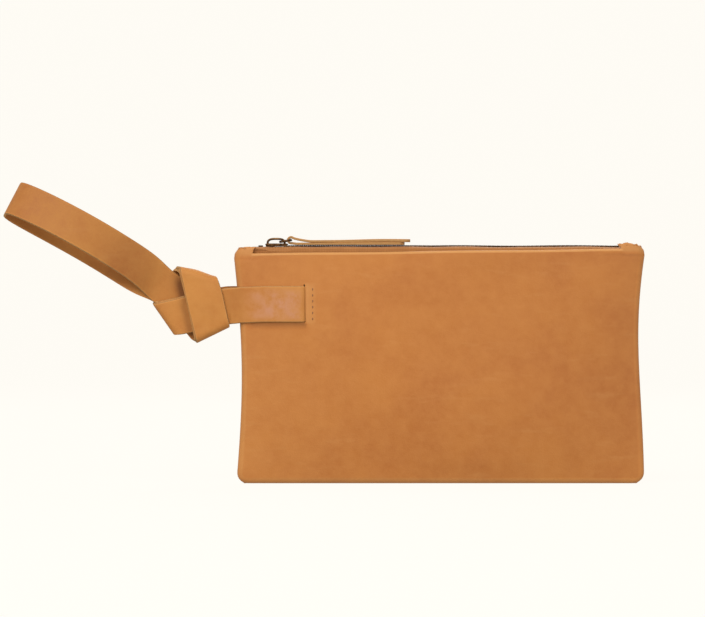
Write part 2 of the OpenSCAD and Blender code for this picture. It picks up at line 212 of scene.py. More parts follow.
@dataclass
class Skin:
    """A closed surface made of rings of points, with the two ends capped.

    Attributes:
        rings: rows of points round the piece, rows x points x 3, in millimetres.
        edge: the strips between points j and j + 1 that show the cut edge.
        wear_and_shade: for each point, above 0 lighter, mostly where the surface is rubbed and in places painted
            light, and below 0 where shade is painted dark.
        burnish_and_sheen: for each point, how far it is rubbed smooth and given a painted sheen.
        closed: whether the last ring joins the first.
        slit: the first row, last row and left column of a slit through a two-faced sheet.
    """

    rings: np.ndarray
    edge: tuple[int, ...] = ()
    wear_and_shade: np.ndarray | None = None
    burnish_and_sheen: np.ndarray | None = None
    closed: bool = False
    slit: tuple[int, int, int] | None = None

    def faces(self) -> tuple[list[tuple[int, ...]], list[int]]:
        """The faces between the rings.

        Returns:
            The faces, and for each the number of its material.
        """
        rows, count = self.rings.shape[:2]
        faces: list[tuple[int, ...]] = []
        finish: list[int] = []
        gap: set[tuple[int, int]] = set()
        if self.slit:
            low, high, column = self.slit
            gap = {(i, j) for i in range(low, high) for j in (column, count - 2 - column)}
        for i in range(rows if self.closed else rows - 1):
            a, b = i * count, (i + 1) % rows * count
            for j in range(count):
                if (i, j) in gap:
                    continue
                k = (j + 1) % count
                faces.append((a + j, a + k, b + k, b + j))
                finish.append(int(j in self.edge))
        if not self.closed:
            for base in (0, (rows - 1) * count):
                for j in range(count // 2 - 1):
                    faces.append((base + j, base + j + 1, base + count - 2 - j, base + count - 1 - j))
                    finish.append(1)
        if self.slit:
            low, high, column = self.slit
            for j in (column, column + 1):
                for i in range(low, high):
                    a, b = i * count, (i + 1) * count
                    faces.append((a + j, b + j, b + count - 1 - j, a + count - 1 - j))
                    finish.append(0)
            for i in (low, high):
                a = i * count
                faces.append((a + column, a + column + 1, a + count - 2 - column, a + count - 1 - column))
                finish.append(0)
        return faces, finish


def mesh_of(
    name: str, skins: Sequence[Skin], materials: Sequence[bpy.types.Material], sharp: float = 42.0
) -> bpy.types.Object:
    """Makes one object from closed surfaces.

    Args:
        name: the piece's name.
        skins: its surfaces.
        materials: the finish of its face and, where it has one, of its cut edge.
        sharp: the angle in degrees from which an edge shows as sharp.

    Returns:
        The new object.
    """
    points, faces, finish, wear_and_shade, burnish_and_sheen = [], [], [], [], []
    start = 0
    for skin in skins:
        flat = skin.rings.reshape(-1, 3)
        skin_faces, skin_finish = skin.faces()
        points.append(flat)
        faces += [tuple(v + start for v in f) for f in skin_faces]
        finish += skin_finish
        wear_and_shade.append(np.zeros(len(flat)) if skin.wear_and_shade is None else skin.wear_and_shade.reshape(-1))
        burnish_and_sheen.append(np.zeros(len(flat)) if skin.burnish_and_sheen is None else skin.burnish_and_sheen.reshape(-1))
        start += len(flat)
    mesh = bpy.data.meshes.new(name)
    mesh.from_pydata((np.concatenate(points) * MM).tolist(), [], faces)
    for key, values in (("wear_and_shade", wear_and_shade), ("burnish_and_sheen", burnish_and_sheen)):
        layer = mesh.attributes.new(key, "FLOAT", "POINT")
        layer.data.foreach_set("value", np.concatenate(values).astype(np.float32))
    for material in materials:
        mesh.materials.append(material)
    mesh.polygons.foreach_set("material_index", [min(f, len(materials) - 1) for f in finish])
    mesh.polygons.foreach_set("use_smooth", [True] * len(faces))
    work = bmesh.new()
    work.from_mesh(mesh)
    bmesh.ops.recalc_face_normals(work, faces=work.faces)
    work.to_mesh(mesh)
    work.free()
    mesh.set_sharp_from_angle(angle=math.radians(sharp))
    mesh.update()
    piece = bpy.data.objects.new(name, mesh)
    bpy.context.scene.collection.objects.link(piece)
    return piece


def normals_of(grid: np.ndarray) -> np.ndarray:
    """Unit normals of a grid of points, across its columns first and then along its rows."""
    normal = np.cross(np.gradient(grid, axis=1), np.gradient(grid, axis=0))
    return normal / np.maximum(np.linalg.norm(normal, axis=2, keepdims=True), 1e-9)


def layered(grid: np.ndarray, low: Any, high: Any, rounding: float = 0.0, cant: float = 0.0) -> np.ndarray:
    """Gives a grid of points a thickness.

    Args:
        grid: rows x columns x 3 points.
        low: how far the under face stands off the grid along its normals, for all rows or for each.
        high: how far the upper face stands off it.
        rounding: how much thinner the outermost columns are, as a share.
        cant: how far the upper face's cut edges lean in.

    Returns:
        Rings round the sheet: the upper face and then the under face backwards.
    """
    normal = normals_of(grid)
    low, high = np.reshape(low, (-1, 1)), np.reshape(high, (-1, 1))
    middle, half = (low + high) / 2, (high - low) / 2
    share = np.ones(grid.shape[1])
    share[[0, -1]] -= rounding
    share[[1, -2]] -= rounding * 0.3
    upper = grid + normal * (middle + half * share)[..., None]
    under = grid + normal * (middle - half * share)[..., None]
    if cant:
        for rim, inner in ((0, 2), (-1, -3)):
            inward = grid[:, inner] - grid[:, rim]
            upper[:, rim] += inward * cant / np.linalg.norm(inward, axis=1, keepdims=True)
    return np.concatenate([upper, under[:, ::-1]], axis=1)


def tube(path: np.ndarray, radius: float, across: np.ndarray, sides: int = 12) -> np.ndarray:
    """Rings of a round bar along a path.

    Args:
        path: the points that it follows.
        radius: its radius.
        across: a direction that the path never runs along.
        sides: how many points go round it.

    Returns:
        The rings.
    """
    along = np.gradient(path, axis=0)
    along /= np.linalg.norm(along, axis=1, keepdims=True)
    first = np.cross(along, across)
    first /= np.linalg.norm(first, axis=1, keepdims=True)
    second = np.cross(along, first)
    turn = (np.arange(sides) + 0.5) * 2 * math.pi / sides
    return path[:, None] + radius * (
        first[:, None] * np.cos(turn)[None, :, None] + second[:, None] * np.sin(turn)[None, :, None]
    )


def sheet_wear(rows: int, columns: int, face: np.ndarray, edge: float) -> np.ndarray:
    """Wear for the rings of a layered sheet.

    Args:
        rows: how many rows the sheet has.
        columns: how many columns.
        face: wear of the upper face, rows x columns.
        edge: how light the outermost columns are rubbed.

    Returns:
        Wear for each point of the rings.
    """
    upper = np.array(np.broadcast_to(face, (rows, columns)), float)
    upper[:, [0, -1]] += edge
    upper[:, [1, -2]] += edge * 0.5
    return np.concatenate([upper, upper[:, ::-1]], axis=1)


def settle(piece: bpy.types.Object, body: str, slot: Slot, *stands_for: str) -> bpy.types.Object:
    """Puts a piece on its body and hides the frame's nodes that it stands for.

    Args:
        piece: the piece.
        body: the body that it moves with.
        slot: the record's slot for its finish; not used.
        stands_for: the frame's nodes that it replaces.

    Returns:
        The same piece.
    """
    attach(piece, body)
    if stands_for:
        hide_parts(*stands_for)
    LOG.info("%s rides on %s and has %d faces", piece.name, body, len(piece.data.polygons))
    return piece


# ---------------------------------------------------------------- finishes


def blank(name: str) -> tuple[bpy.types.Material, bpy.types.NodeTree, bpy.types.Node]:
    """Makes a material with an empty principled shader.

    Args:
        name: the material's name.

    Returns:
        The material, its node tree and its shader.
    """
    material = bpy.data.materials.new(name)
    material.use_nodes = True
    tree = material.node_tree
    return material, tree, tree.nodes["Principled BSDF"]


class Shading:
    """A material in the making, and the steps that the finishes share."""

    def __init__(self, name: str) -> None:
        """Starts a material whose patterns are laid out in the object's own space."""
        self.material, self.tree, self.shader = blank(name)
        self.place = self.node("TexCoord").outputs["Object"]

    def node(self, kind: str, values: Mapping[Any, Any] | None = None, **settings: Any) -> bpy.types.Node:
        """Adds one shader node, called without the prefix of its kind."""
        return add_node(self.tree, f"ShaderNode{kind}", values or {}, **settings)

    def noise(self, size_mm: float, detail: float, **more: Any) -> bpy.types.NodeSocket:
        """Adds a cloudy pattern.

        Args:
            size_mm: the size of its largest blobs.
            detail: how many finer layers it has.
            more: its other sockets.

        Returns:
            Its level.
        """
        values = {"Vector": self.place, "Scale": per_mm(size_mm), "Detail": detail, **more}
        return self.node("TexNoise", values).outputs["Fac"]

    def remap(
        self, value: Any, start: float, end: float, low: float = 0.0, high: float = 1.0
    ) -> bpy.types.NodeSocket:
        """Turns the range from start to end into the range from low to high."""
        limits = {"From Min": start, "From Max": end, "To Min": low, "To Max": high}
        return self.node("MapRange", {"Value": value, **limits}).outputs["Result"]

    def mix(self, share: Any, first: Any, second: Any) -> bpy.types.NodeSocket:
        """Mixes two colours, each a hex colour or a socket."""
        sides = [linear(side) if isinstance(side, str) else side for side in (first, second)]
        values = {0: share, MIX_A: sides[0], MIX_B: sides[1]}
        return self.node("Mix", values, data_type="RGBA").outputs[MIX_OUT]

    def math(self, operation: str, *values: Any, clamp: bool = False) -> bpy.types.NodeSocket:
        """Does a sum with two or three levels."""
        return self.node("Math", dict(enumerate(values)), operation=operation, use_clamp=clamp).outputs[0]

    def bump(self, height: Any, strength: float, depth_mm: float, **more: Any) -> bpy.types.NodeSocket:
        """Turns a level into fine relief."""
        values = {"Height": height, "Strength": strength, "Distance": depth_mm * MM, **more}
        return self.node("Bump", values).outputs["Normal"]

    def attribute(self, name: str) -> bpy.types.NodeSocket:
        """Reads a level that is stored on the mesh."""
        return self.node("Attribute", attribute_name=name).outputs["Fac"]

    def finish(self, values: Mapping[str, Any]) -> bpy.types.Material:
        """Sets or links the shader's sockets and gives the material."""
        for name, value in values.items():
            if isinstance(value, bpy.types.NodeSocket):
                self.tree.links.new(value, self.shader.inputs[name])
            else:
                self.shader.inputs[name].default_value = value
        return self.material


@dataclass(frozen=True)
class WaxedLeather:
    """Full-grain cowhide, drum-dyed tan and waxed, so that it pulls up lighter where it bends.

    The wax gives a soft half-matt face with cloudy lighter and darker patches, faint scuffs, and a
    fine pebbled grain.  Rubbed folds and edges show lighter; shade under and between parts and in
    creases is painted darker, and a handled patch gets a painted sheen.
    """

    name: str
    tone: str = "#b57233"
    light: str = "#c08043"
    dark: str = "#ab672d"
    worn: str = "#cc985c"
    # The dark colour of painted shade: in creases and gaps, under and beside other parts
    crease: str = "#6b3d19"
    # The lighter pinkish colour of a painted sheen on the handled patch
    polish_and_sheen: str = "#ba8260"
    cloud_mm: float = 38.0
    mottle_mm: float = 6.5
    # Real grain is about 0.4 mm across; twice that is the finest that still shows
    grain_mm: float = 0.85
    scuff_mm: float = 5.0
    roughness: float = 0.56
    gloss: float = 0.32

    def material(self) -> bpy.types.Material:
        """The finish as a material."""
        shade = Shading(self.name)
        cloud = shade.noise(self.cloud_mm, 4.0, Roughness=0.55, Distortion=0.4)
        mottle = shade.noise(self.mottle_mm, 7.0, Roughness=0.68)
        colour = shade.mix(shade.remap(cloud, 0.36, 0.66), self.dark, self.tone)
        colour = shade.mix(shade.remap(mottle, 0.35, 0.7, high=0.42), colour, self.light)
        # Scuffs: short pale strokes that lean one way across the hide
        turn = {"Vector": shade.place, "Rotation": (0.0, math.radians(38), 0.0), "Scale": (1.0, 1.0, 4.5)}
        lean = shade.node("Mapping", turn).outputs["Vector"]
        stroke = shade.noise(self.scuff_mm * 4, 3.0, Vector=lean, Roughness=0.5)
        colour = shade.mix(shade.remap(stroke, 0.6, 0.8, high=0.14), colour, self.worn)
        # Lighter above 0, mostly where rubbed and in places painted light; below 0 shade is painted darker
        rub_and_shade = shade.attribute("wear_and_shade")
        colour = shade.mix(shade.remap(rub_and_shade, 0.0, 1.0, high=0.8), colour, self.worn)
        colour = shade.mix(shade.remap(rub_and_shade, 0.0, -1.0, high=0.9), colour, self.crease)
        # Handled smooth, in blotches: less rough, and lighter pink as a painted sheen
        shine = shade.attribute("burnish_and_sheen")
        blotch = shade.math("MULTIPLY", shine, shade.remap(mottle, 0.4, 0.56, 0.25), clamp=True)
        colour = shade.mix(blotch, colour, self.polish_and_sheen)
        rough = shade.remap(mottle, 0.3, 0.7, self.roughness - 0.07, self.roughness + 0.09)
        pores = shade.node("TexVoronoi", {"Vector": shade.place, "Scale": per_mm(self.grain_mm)}, feature="F1")
        grain = shade.bump(pores.outputs["Distance"], 0.22, 0.12)
        return shade.finish(
            {
                "Base Color": colour,
                "Roughness": shade.math("MULTIPLY_ADD", shine, -0.16, rough),
                "Normal": shade.bump(mottle, 0.35, 0.6, Normal=grain),
                "IOR": 1.48,
                "Specular IOR Level": self.gloss,
                "Sheen Weight": 0.04,
                "Sheen Roughness": 0.5,
            }
        )


@dataclass(frozen=True)
class CutEdge:
    """The raw cut edge of the hide: undyed split fibre, pale and quite matt, with a dark waxed line."""

    name: str = "raw_cut_leather_edge"
    pale: str = "#bf9763"
    dark: str = "#8f6236"
    fibre_mm: float = 1.1

    def material(self) -> bpy.types.Material:
        """The finish as a material."""
        shade = Shading(self.name)
        fibre = shade.noise(self.fibre_mm, 5.0, Roughness=0.7)
        return shade.finish(
            {
                "Base Color": shade.mix(fibre, self.dark, self.pale),
                "Normal": shade.bump(fibre, 0.5, 0.15),
                "Roughness": 0.92,
                "Specular IOR Level": 0.2,
            }
        )


@dataclass(frozen=True)
class WovenCloth:
    """Plain woven cloth: threads over and under, which gives a fine matt check and a slight sheen."""

    name: str
    warp: str
    weft: str
    thread_mm: float
    roughness: float = 0.88

    def material(self) -> bpy.types.Material:
        """The finish as a material."""
        shade = Shading(self.name)
        band = {"Scale": band_scale(self.thread_mm * 2), "Distortion": 0.6, "Detail": 2.0}
        rows = shade.node("TexWave", {"Vector": shade.place, **band}, bands_direction="X")
        turned = shade.node("Mapping", {"Vector": shade.place, "Rotation": (math.radians(45), 0.0, 0.0)})
        columns = shade.node("TexWave", {"Vector": turned.outputs["Vector"], **band}, bands_direction="Z")
        weave = shade.math("MULTIPLY", rows.outputs["Fac"], columns.outputs["Fac"])
        slub = shade.math("MULTIPLY", weave, shade.noise(self.thread_mm * 9, 4.0))
        return shade.finish(
            {
                "Base Color": shade.mix(shade.remap(slub, 0.0, 0.6), self.warp, self.weft),
                "Normal": shade.bump(weave, 0.6, 0.12),
                "Roughness": self.roughness,
                "Sheen Weight": 0.25,
                "Sheen Roughness": 0.45,
            }
        )


@dataclass(frozen=True)
class AntiqueBronze:
    """Cast or stamped brass, oxidised dark brown and relieved, so that its high spots shine warm."""

    name: str
    dark: str = "#3a281b"
    warm: str = "#8a6440"
    cast_mm: float = 1.6
    rim: str = "#8f7458"
    roughness: float = 0.4
    metallic: float = 0.9

    def material(self) -> bpy.types.Material:
        """The finish as a material."""
        shade = Shading(self.name)
        patina = shade.noise(self.cast_mm, 5.0, Roughness=0.6)
        spots = shade.remap(patina, 0.45, 0.75, high=0.6)
        high = shade.math("ADD", spots, shade.attribute("wear_and_shade"), clamp=True)
        return shade.finish(
            {
                "Base Color": shade.mix(high, self.dark, self.warm),
                "Roughness": shade.remap(patina, 0.3, 0.7, self.roughness - 0.08, self.roughness + 0.14),
                "Normal": shade.bump(patina, 0.25, 0.08),
                "Metallic": self.metallic,
                "Specular Tint": linear(self.rim),
            }
        )


@dataclass(frozen=True)
class WaxedThread:
    """Waxed polyester sewing thread: two plies twisted together, which shows as slanted ridges."""

    name: str = "waxed_tan_thread"
    tone: str = "#b5793f"
    shade: str = "#8a5527"
    twist_mm: float = 0.8

    def material(self) -> bpy.types.Material:
        """The finish as a material."""
        shade = Shading(self.name)
        values = {"Vector": shade.place, "Scale": band_scale(self.twist_mm), "Distortion": 1.0}
        plies = shade.node("TexWave", values, bands_direction="DIAGONAL").outputs["Fac"]
        return shade.finish(
            {
                "Base Color": shade.mix(plies, self.shade, self.tone),
                "Normal": shade.bump(plies, 0.5, 0.1),
                "Roughness": 0.6,
                "Sheen Weight": 0.15,
            }
        )


class Finishes:
    """Every material of the wallet, made once."""

    def __init__(self) -> None:
        """Makes the materials."""
        self.panel = WaxedLeather("waxed_tan_leather").material()
        self.strap = WaxedLeather(
            "waxed_tan_strap_leather", tone="#b87a3a", light="#c38a4a", dark="#ab6a31", roughness=0.58, gloss=0.24
        ).material()
        self.edge = CutEdge().material()
        self.cotton = WovenCloth("natural_cotton_lining", "#b39a72", "#d8c59c", 0.5).material()
        self.tape = WovenCloth("woven_polyester_zip_tape", "#96602f", "#b97f45", 0.42).material()
        self.teeth = AntiqueBronze("antiqued_brass_zip_teeth", dark="#33241a", rim="#5e4a38", roughness=0.5).material()
        self.slider = AntiqueBronze("antiqued_brass_slider", dark="#46301f", warm="#a07a52").material()
        self.thread = WaxedThread(tone="#9a6533", shade="#6f431f").material()


# ---------------------------------------------------------------- pouch


def corner(distance: Any, radius: Any) -> Any:
    """How far a rounded corner sets an edge in, at a distance from the corner's end."""
    gap = np.clip(radius - np.asarray(distance, float), 0.0, radius)
    return radius - np.sqrt(radius * radius - gap * gap)


@dataclass(frozen=True)
class SideLine:
    """One sewn side of the pouch as it is seen from the front.

    Attributes:
        foot: distance from the middle at the bottom.
        head: distance from the middle at the top.
        pull: how far the side pulls in.
        skew: above 1, the pull is strongest above half height.
        crown: height of the closed corner beside the zip.
        shut: distance from the middle at which the mouth is closed.
        crease: height of the crease under the closed corner.
        reach: distance from the middle at which that crease fades.
        round: radius of the closed corner.
    """

    foot: float
    head: float
    pull: float
    skew: float
    crown: float
    shut: float
    crease: float
    reach: float
    round: float


@dataclass
class Pouch:
    """The leather pouch: two panels sewn together at the sides and bottom, with a cotton lining."""

    height: float = 123.0
    half_width: float = 108.0
    leather: float = 1.3
    belly: float = 19.0
    mouth: float = 15.6
    seam: float = 6.8
    corner_r: float = 6.0
    turn_in: float = 7.0
    fold_r: float = 1.4
    fold_rise: float = 0.0125
    fold_level: float = 123.1
    lining_inset: float = 3.7
    lining_t: float = 0.4
    left: SideLine = SideLine(107.3, 108.9, 3.6, 1.0, 125.4, 98.2, 119.3, 93.0, 6.3)
    right: SideLine = SideLine(109.0, 109.5, 3.4, 1.6, 127.3, 96.2, 121.2, 84.0, 6.6)
    # Distance in from the sewn edge, and the share of the thickness there: the seam sits in a groove
    edge: tuple[tuple[float, float], ...] = (
        (0.7, 0.02),
        (0.2, 0.1),
        (0.0, 0.28),
        (0.1, 0.5),
        (0.5, 0.75),
        (1.2, 0.9),
        (2.4, 1.0),
    )
    # The closed corners rise to a ridge on each side of a valley: how far along the way in to the
    # ridge and then to the middle each row of the mouth's turn is, its height, and its share of valley
    ridge_y: float = 5.4
    valley_z: float = 126.15
    corner_path: tuple[tuple[float, float, float], ...] = (
        (0.12, 0.4, 0.0),
        (0.3, 0.72, 0.0),
        (0.62, 0.94, 0.0),
        (1.0, 1.0, 0.0),
        (1.1, 0.95, 0.25),
        (1.19, 0.0, 1.0),
        (1.5, 0.0, 1.0),
        (1.97, 0.0, 1.0),
    )
    slit_x: float = -70.66
    slit_w: float = 2.0
    slit_low: float = 85.0
    slit_high: float = 105.0
    stitch_pitch: float = 3.1
    thread_r: float = 0.32

    def line(self, x: Any) -> tuple[Any, ...]:
        """The side line's fields for each x, left or right."""
        keys = ("foot", "head", "pull", "skew", "crown", "shut", "crease", "reach", "round")
        return tuple(np.where(np.asarray(x) < 0, getattr(self.left, k), getattr(self.right, k)) for k in keys)

    def edge_x(self, z: Any, side: Any) -> Any:
        """Distance of a sewn side from the middle.

        Args:
            z: the height.
            side: below 0 for the left side and above 0 for the right.

        Returns:
            The distance, always positive.
        """
        foot, head, pull, skew, crown, _, _, _, bend = self.line(side)
        share = np.clip(np.asarray(z, float) / self.height, 0.0, 1.0)
        return (
            foot
            + (head - foot) * share
            - pull * np.sin(math.pi * share**skew)
            - corner(z, self.corner_r)
            - corner(crown - np.asarray(z, float), bend)
        )

    def half_thick(self, x: Any, z: Any) -> Any:
        """Half the pouch's thickness at a point of its face."""
        full_z = 0.45 * self.height
        z = np.asarray(z, float)
        low = 1 - (1 - np.clip(z / full_z, 0, 1)) ** 2
        high = 1 - (1 - (self.mouth - self.seam) / (self.belly - self.seam)) * (
            (z - full_z) / (self.height - full_z)
        ) ** 2
        fullness = np.where(z < full_z, low, high)
        power = 2.4 + 8 * (np.clip(z, 0, None) / self.height) ** 4
        shape = np.maximum(0.0, 1 - np.abs(np.asarray(x, float) / self.half_width) ** power) ** 0.6
        return self.seam / 2 + (self.belly - self.seam) / 2 * fullness * shape

    def relief(self, x: Any, z: Any, face: Side) -> Any:
        """The slow swells of soft leather, which fade towards the edges."""
        shift = 0.0 if face is Side.FRONT else 2.1
        swell = (
            0.34 * np.sin(x / 33 + 0.9 + shift) * np.sin(z / 21 + 0.4)
            + 0.2 * np.sin(x / 19 - z / 31 + shift)
            + 0.12 * np.sin(x / 11 + z / 13 + 1.7 * shift)
        )
        inside = ease(2, 16, self.half_width - np.abs(x)) * ease(1, 14, z) * ease(0, 12, self.height - z)
        return swell * inside

    def face_y(self, x: Any, z: Any, face: Side = Side.FRONT) -> Any:
        """How far the pouch's face stands from the middle plane, creases included."""
        x, z = np.asarray(x, float), np.asarray(z, float)
        _, _, _, _, _, _, crease, reach, _ = self.line(x)
        fade = ease(0, 5, np.abs(x) - reach)
        fold = 0.22 * fade * bump_at(z - crease, 0.0, 0.8)
        return self.half_thick(x, z) + self.relief(x, z, face) - fold

    def fold_z(self, x: Any) -> Any:
        """Height of the folded top edge beside the zip."""
        return self.fold_level + self.fold_rise * x + 0.12 * np.sin(x / 14.0 + 0.8)

    def columns(self) -> tuple[np.ndarray, np.ndarray, np.ndarray]:
        """The panel's columns from left to right.

        Returns:
            Shares of the half width, insets from the sewn edge, and shares of the thickness.
        """
        near = 1 - 3.6 / self.half_width
        inner = np.linspace(-near, near, 101)
        slit = np.array([self.slit_x - self.slit_w / 2, self.slit_x + self.slit_w / 2]) / self.half_width
        step = np.array([-99.6, -99.0, -98.4, -97.8, 95.8, 96.5, 97.2, 97.9]) / self.half_width
        keep = [c for c in inner if np.min(np.abs(c - np.concatenate([slit, step]))) > 0.006]
        inner = np.sort(np.concatenate([keep, slit, step]))
        inset = [e for e, _ in self.edge]
        share = [s for _, s in self.edge]
        return (
            np.concatenate([[-1.0] * len(inset), inner, [1.0] * len(inset)]),
            np.concatenate([inset, np.zeros(len(inner)), inset[::-1]]),
            np.concatenate([share, np.ones(len(inner)), share[::-1]]),
        )

    def column_x(self, share: np.ndarray, inset: np.ndarray, z: Any) -> np.ndarray:
        """Where the columns stand at a height: the outer ones follow the sewn sides."""
        edge = self.edge_x(z, share)
        follow = np.abs(share) ** 4
        return share * self.half_width + np.sign(share) * ((edge - self.half_width) * follow - inset)

    def closing(self, x: np.ndarray) -> np.ndarray:
        """How far the mouth is closed at x: 0 beside the zip and 1 in the corners."""
        _, _, _, _, _, shut, *_ = self.line(x)
        return ease(0.0, 1.3, np.abs(x) - shut)

    def pucker(self, x: np.ndarray) -> np.ndarray:
        """How far the closed right corner gathers up or down at x."""
        return 0.5 * bump_at(x, 103.6, 1.8) - 0.5 * bump_at(x, 100.0, 1.7) - 0.2 * bump_at(x, -101.0, 2.0)

    def outer_grid(self, face: Side) -> tuple[np.ndarray, np.ndarray]:
        """The outer surface of a panel, from the bottom seam over the top fold to the turned-in end.

        Args:
            face: the front or back panel.

        Returns:
            The points as for the front panel, and for each its wear and painted shade.
        """
        share, inset, edge_share = self.columns()
        nominal = share * self.half_width
        _, _, _, _, crown, _, crease, reach, _ = self.line(nominal)
        shut = self.closing(nominal)
        top = self.fold_z(nominal)
        close_from = crown - 6.2
        face_end = top - self.fold_r + (close_from - top + self.fold_r) * shut
        grid, wear_and_shade = [], []

        def add_row(z: Any, setback: Any, row_share: float, rub_and_shade: Any, tuck: float = 0.0) -> None:
            """Adds a row whose points stand setback behind the face, and tuck in from the sides."""
            z = np.broadcast_to(np.asarray(z, float), share.shape)
            x = self.column_x(share, inset, z) * (1 - tuck / self.half_width)
            y = np.maximum(0.06, (self.face_y(x, np.minimum(z, self.height), face) - setback) * row_share * edge_share)
            grid.append(np.stack([x, -y, z], axis=1))
            wear_and_shade.append(np.broadcast_to(rub_and_shade, share.shape))

        side_rub = 0.22 * np.where(np.abs(share) >= 1, 1.0, 0.0)
        for height, row_share in self.edge:
            add_row(height, 0.0, row_share, 0.25)
        start = self.edge[-1][0] + 1.0
        levels = np.linspace(0.0, 1.0, 84)
        for level in levels:
            z = start + (face_end - start) * level
            fade = ease(0, 5, np.abs(nominal) - reach)
            # Painted light: lighter to the left and darker to the right, as the key lamp falls off
            painted_light_falloff = -0.11 * (nominal / self.half_width) - 0.03
            # Painted shadow of the strap on the panel, under its lower edge
            painted_strap_shadow = -0.5 * bump_at(z, self.slit_low - 0.9, 1.7) * ease(-107, -98, nominal)
            painted_strap_shadow *= ease(self.slit_x + 1.5, self.slit_x - 0.5, nominal)
            beside = 0.4 * bump_at(nominal, self.slit_x + 2.6, 1.7) * ease(83, 86, z) * ease(107, 104, z)
            paler = 0.22 * fade * ease(crease - 2.0, crease + 1.0, z)
            # The last term paints shade along the crease under the closed corner
            rub_and_shade = side_rub + painted_light_falloff + paler + painted_strap_shadow + beside - 0.3 * fade * bump_at(z - crease, 0.0, 0.8)
            add_row(z, 0.0, 1.0, rub_and_shade)
        close_x = self.column_x(share, inset, close_from)
        half = self.face_y(close_x, close_from, face)
        rise = crown - close_from + self.pucker(nominal)
        valley = np.minimum(crown - 0.7, self.valley_z) - close_from
        ridge = np.minimum(self.ridge_y, half * 0.8)
        drops = (2.0, 4.5, self.turn_in)
        for step, turn in enumerate(np.radians([15, 35, 55, 75, 90, 115, 145, 180])):
            fold_back = self.fold_r * (1 - math.cos(turn))
            inward, lift, in_valley = self.corner_path[step]
            close_y = half + (ridge - half) * min(inward, 1.0) - ridge * max(inward - 1.0, 0.0)
            close_z = close_from + rise * lift * (1 - in_valley) + valley * in_valley
            z = top - self.fold_r + self.fold_r * math.sin(turn)
            rub_and_shade = np.where(shut > 0.5, 0.42, 0.7) * (1.0 if step < 6 else 0.0)
            add_row(z + (close_z - z) * shut, fold_back + (half - close_y - fold_back) * shut, 1.0, rub_and_shade)
        for drop in drops:
            z_fold = top - self.fold_r - drop
            z_close = close_from + valley - 0.6 - drop
            setback = 2 * self.fold_r + (half * 0.99 - 2 * self.fold_r) * shut
            add_row(z_fold + (z_close - z_fold) * shut, setback, 1.0, 0.0, 3.5)
        return np.stack(grid), np.stack(wear_and_shade)

    def slit_rows(self, grid: np.ndarray) -> tuple[int, int, int]:
        """The rows and the column of the slit that the strap goes through."""
        share, _, _ = self.columns()
        column = int(np.argmin(np.abs(share * self.half_width - (self.slit_x - self.slit_w / 2))))
        heights = grid[:92, column, 2]
        return (
            int(np.argmin(np.abs(heights - self.slit_low))),
            int(np.argmin(np.abs(heights - self.slit_high))),
            column,
        )

    def inside_outline(self, rings: np.ndarray, grid: np.ndarray) -> np.ndarray:
        """Keeps a panel's flesh side inside the outline of its outer side, where both crumple.

        Args:
            rings: the points of both sides, outer side first.
            grid: the points of the outer side.

        Returns:
            The points, with none below the seam, across the middle or in the pull tab's way.
        """
        crest = grid[:, :, 2].max(axis=0)
        crest = np.concatenate([crest, crest[::-1] - 0.25])
        rings[:, :, 1] = np.minimum(rings[:, :, 1], -0.05)
        rings[:, :, 2] = np.clip(rings[:, :, 2], 0.0, crest)
        under_tab = (rings[:, :, 0] > self.right.shut) & (rings[:, :, 1] > -self.ridge_y + 0.5)
        rings[:, :, 2] = np.where(under_tab, np.minimum(rings[:, :, 2], self.valley_z), rings[:, :, 2])
        return rings

    def panel(self, finishes: Finishes, face: Side) -> bpy.types.Object:
        """Builds one leather panel."""
        grid, wear_and_shade = self.outer_grid(face)
        slit = self.slit_rows(grid)
        wear_and_shade = wear_and_shade.copy()
        low, high, column = slit
        wear_and_shade[low : high + 1, column + 1 : column + 3] += 0.25
        rings = self.inside_outline(layered(grid, -self.leather, 0.0), grid)
        rings[:, :, 1] *= -face.sign
        both = np.concatenate([wear_and_shade, wear_and_shade[:, ::-1]], axis=1)
        inner = both.shape[1] - 1 - column
        # Painted shade: the flesh side round the slit is painted dark, so that the slit shows as a dark gap
        both[low - 1 : high + 2, inner - 2 : inner + 2] = -1.0
        name = face.named("leather_panel")
        return mesh_of(name, [Skin(rings, wear_and_shade=both, slit=slit)], [finishes.panel, finishes.edge])

    def lining(self, finishes: Finishes, face: Side) -> bpy.types.Object:
        """Builds one half of the lining, a loose cotton bag inside the leather."""
        across = np.concatenate([[-1.0, -0.985], np.linspace(-0.95, 0.95, 49), [0.985, 1.0]])
        up = np.concatenate([[0.0, 0.02], np.linspace(0.06, 1.0, 33)])
        rows = []
        for level in up:
            z = self.lining_inset + level * (self.height - 2.0 - self.lining_inset)
            x = across * (self.edge_x(z, across) - self.lining_inset - 0.6)
            y = self.face_y(x, z, face) - self.lining_inset - 0.25 * np.sin(x / 5.0 + z / 9.0) ** 2
            y *= np.clip((1 - np.abs(across)) * 14, 0.04, 1.0) * min(1.0, 0.05 + level * 12)
            rows.append(np.stack([x, -np.maximum(0.4, y), np.full_like(x, z)], axis=1))
        rings = layered(np.stack(rows), -self.lining_t, 0.0)
        rings[:, :, 1] *= -face.sign
        name = face.named("cotton_lining")
        return mesh_of(name, [Skin(rings)], [finishes.cotton])

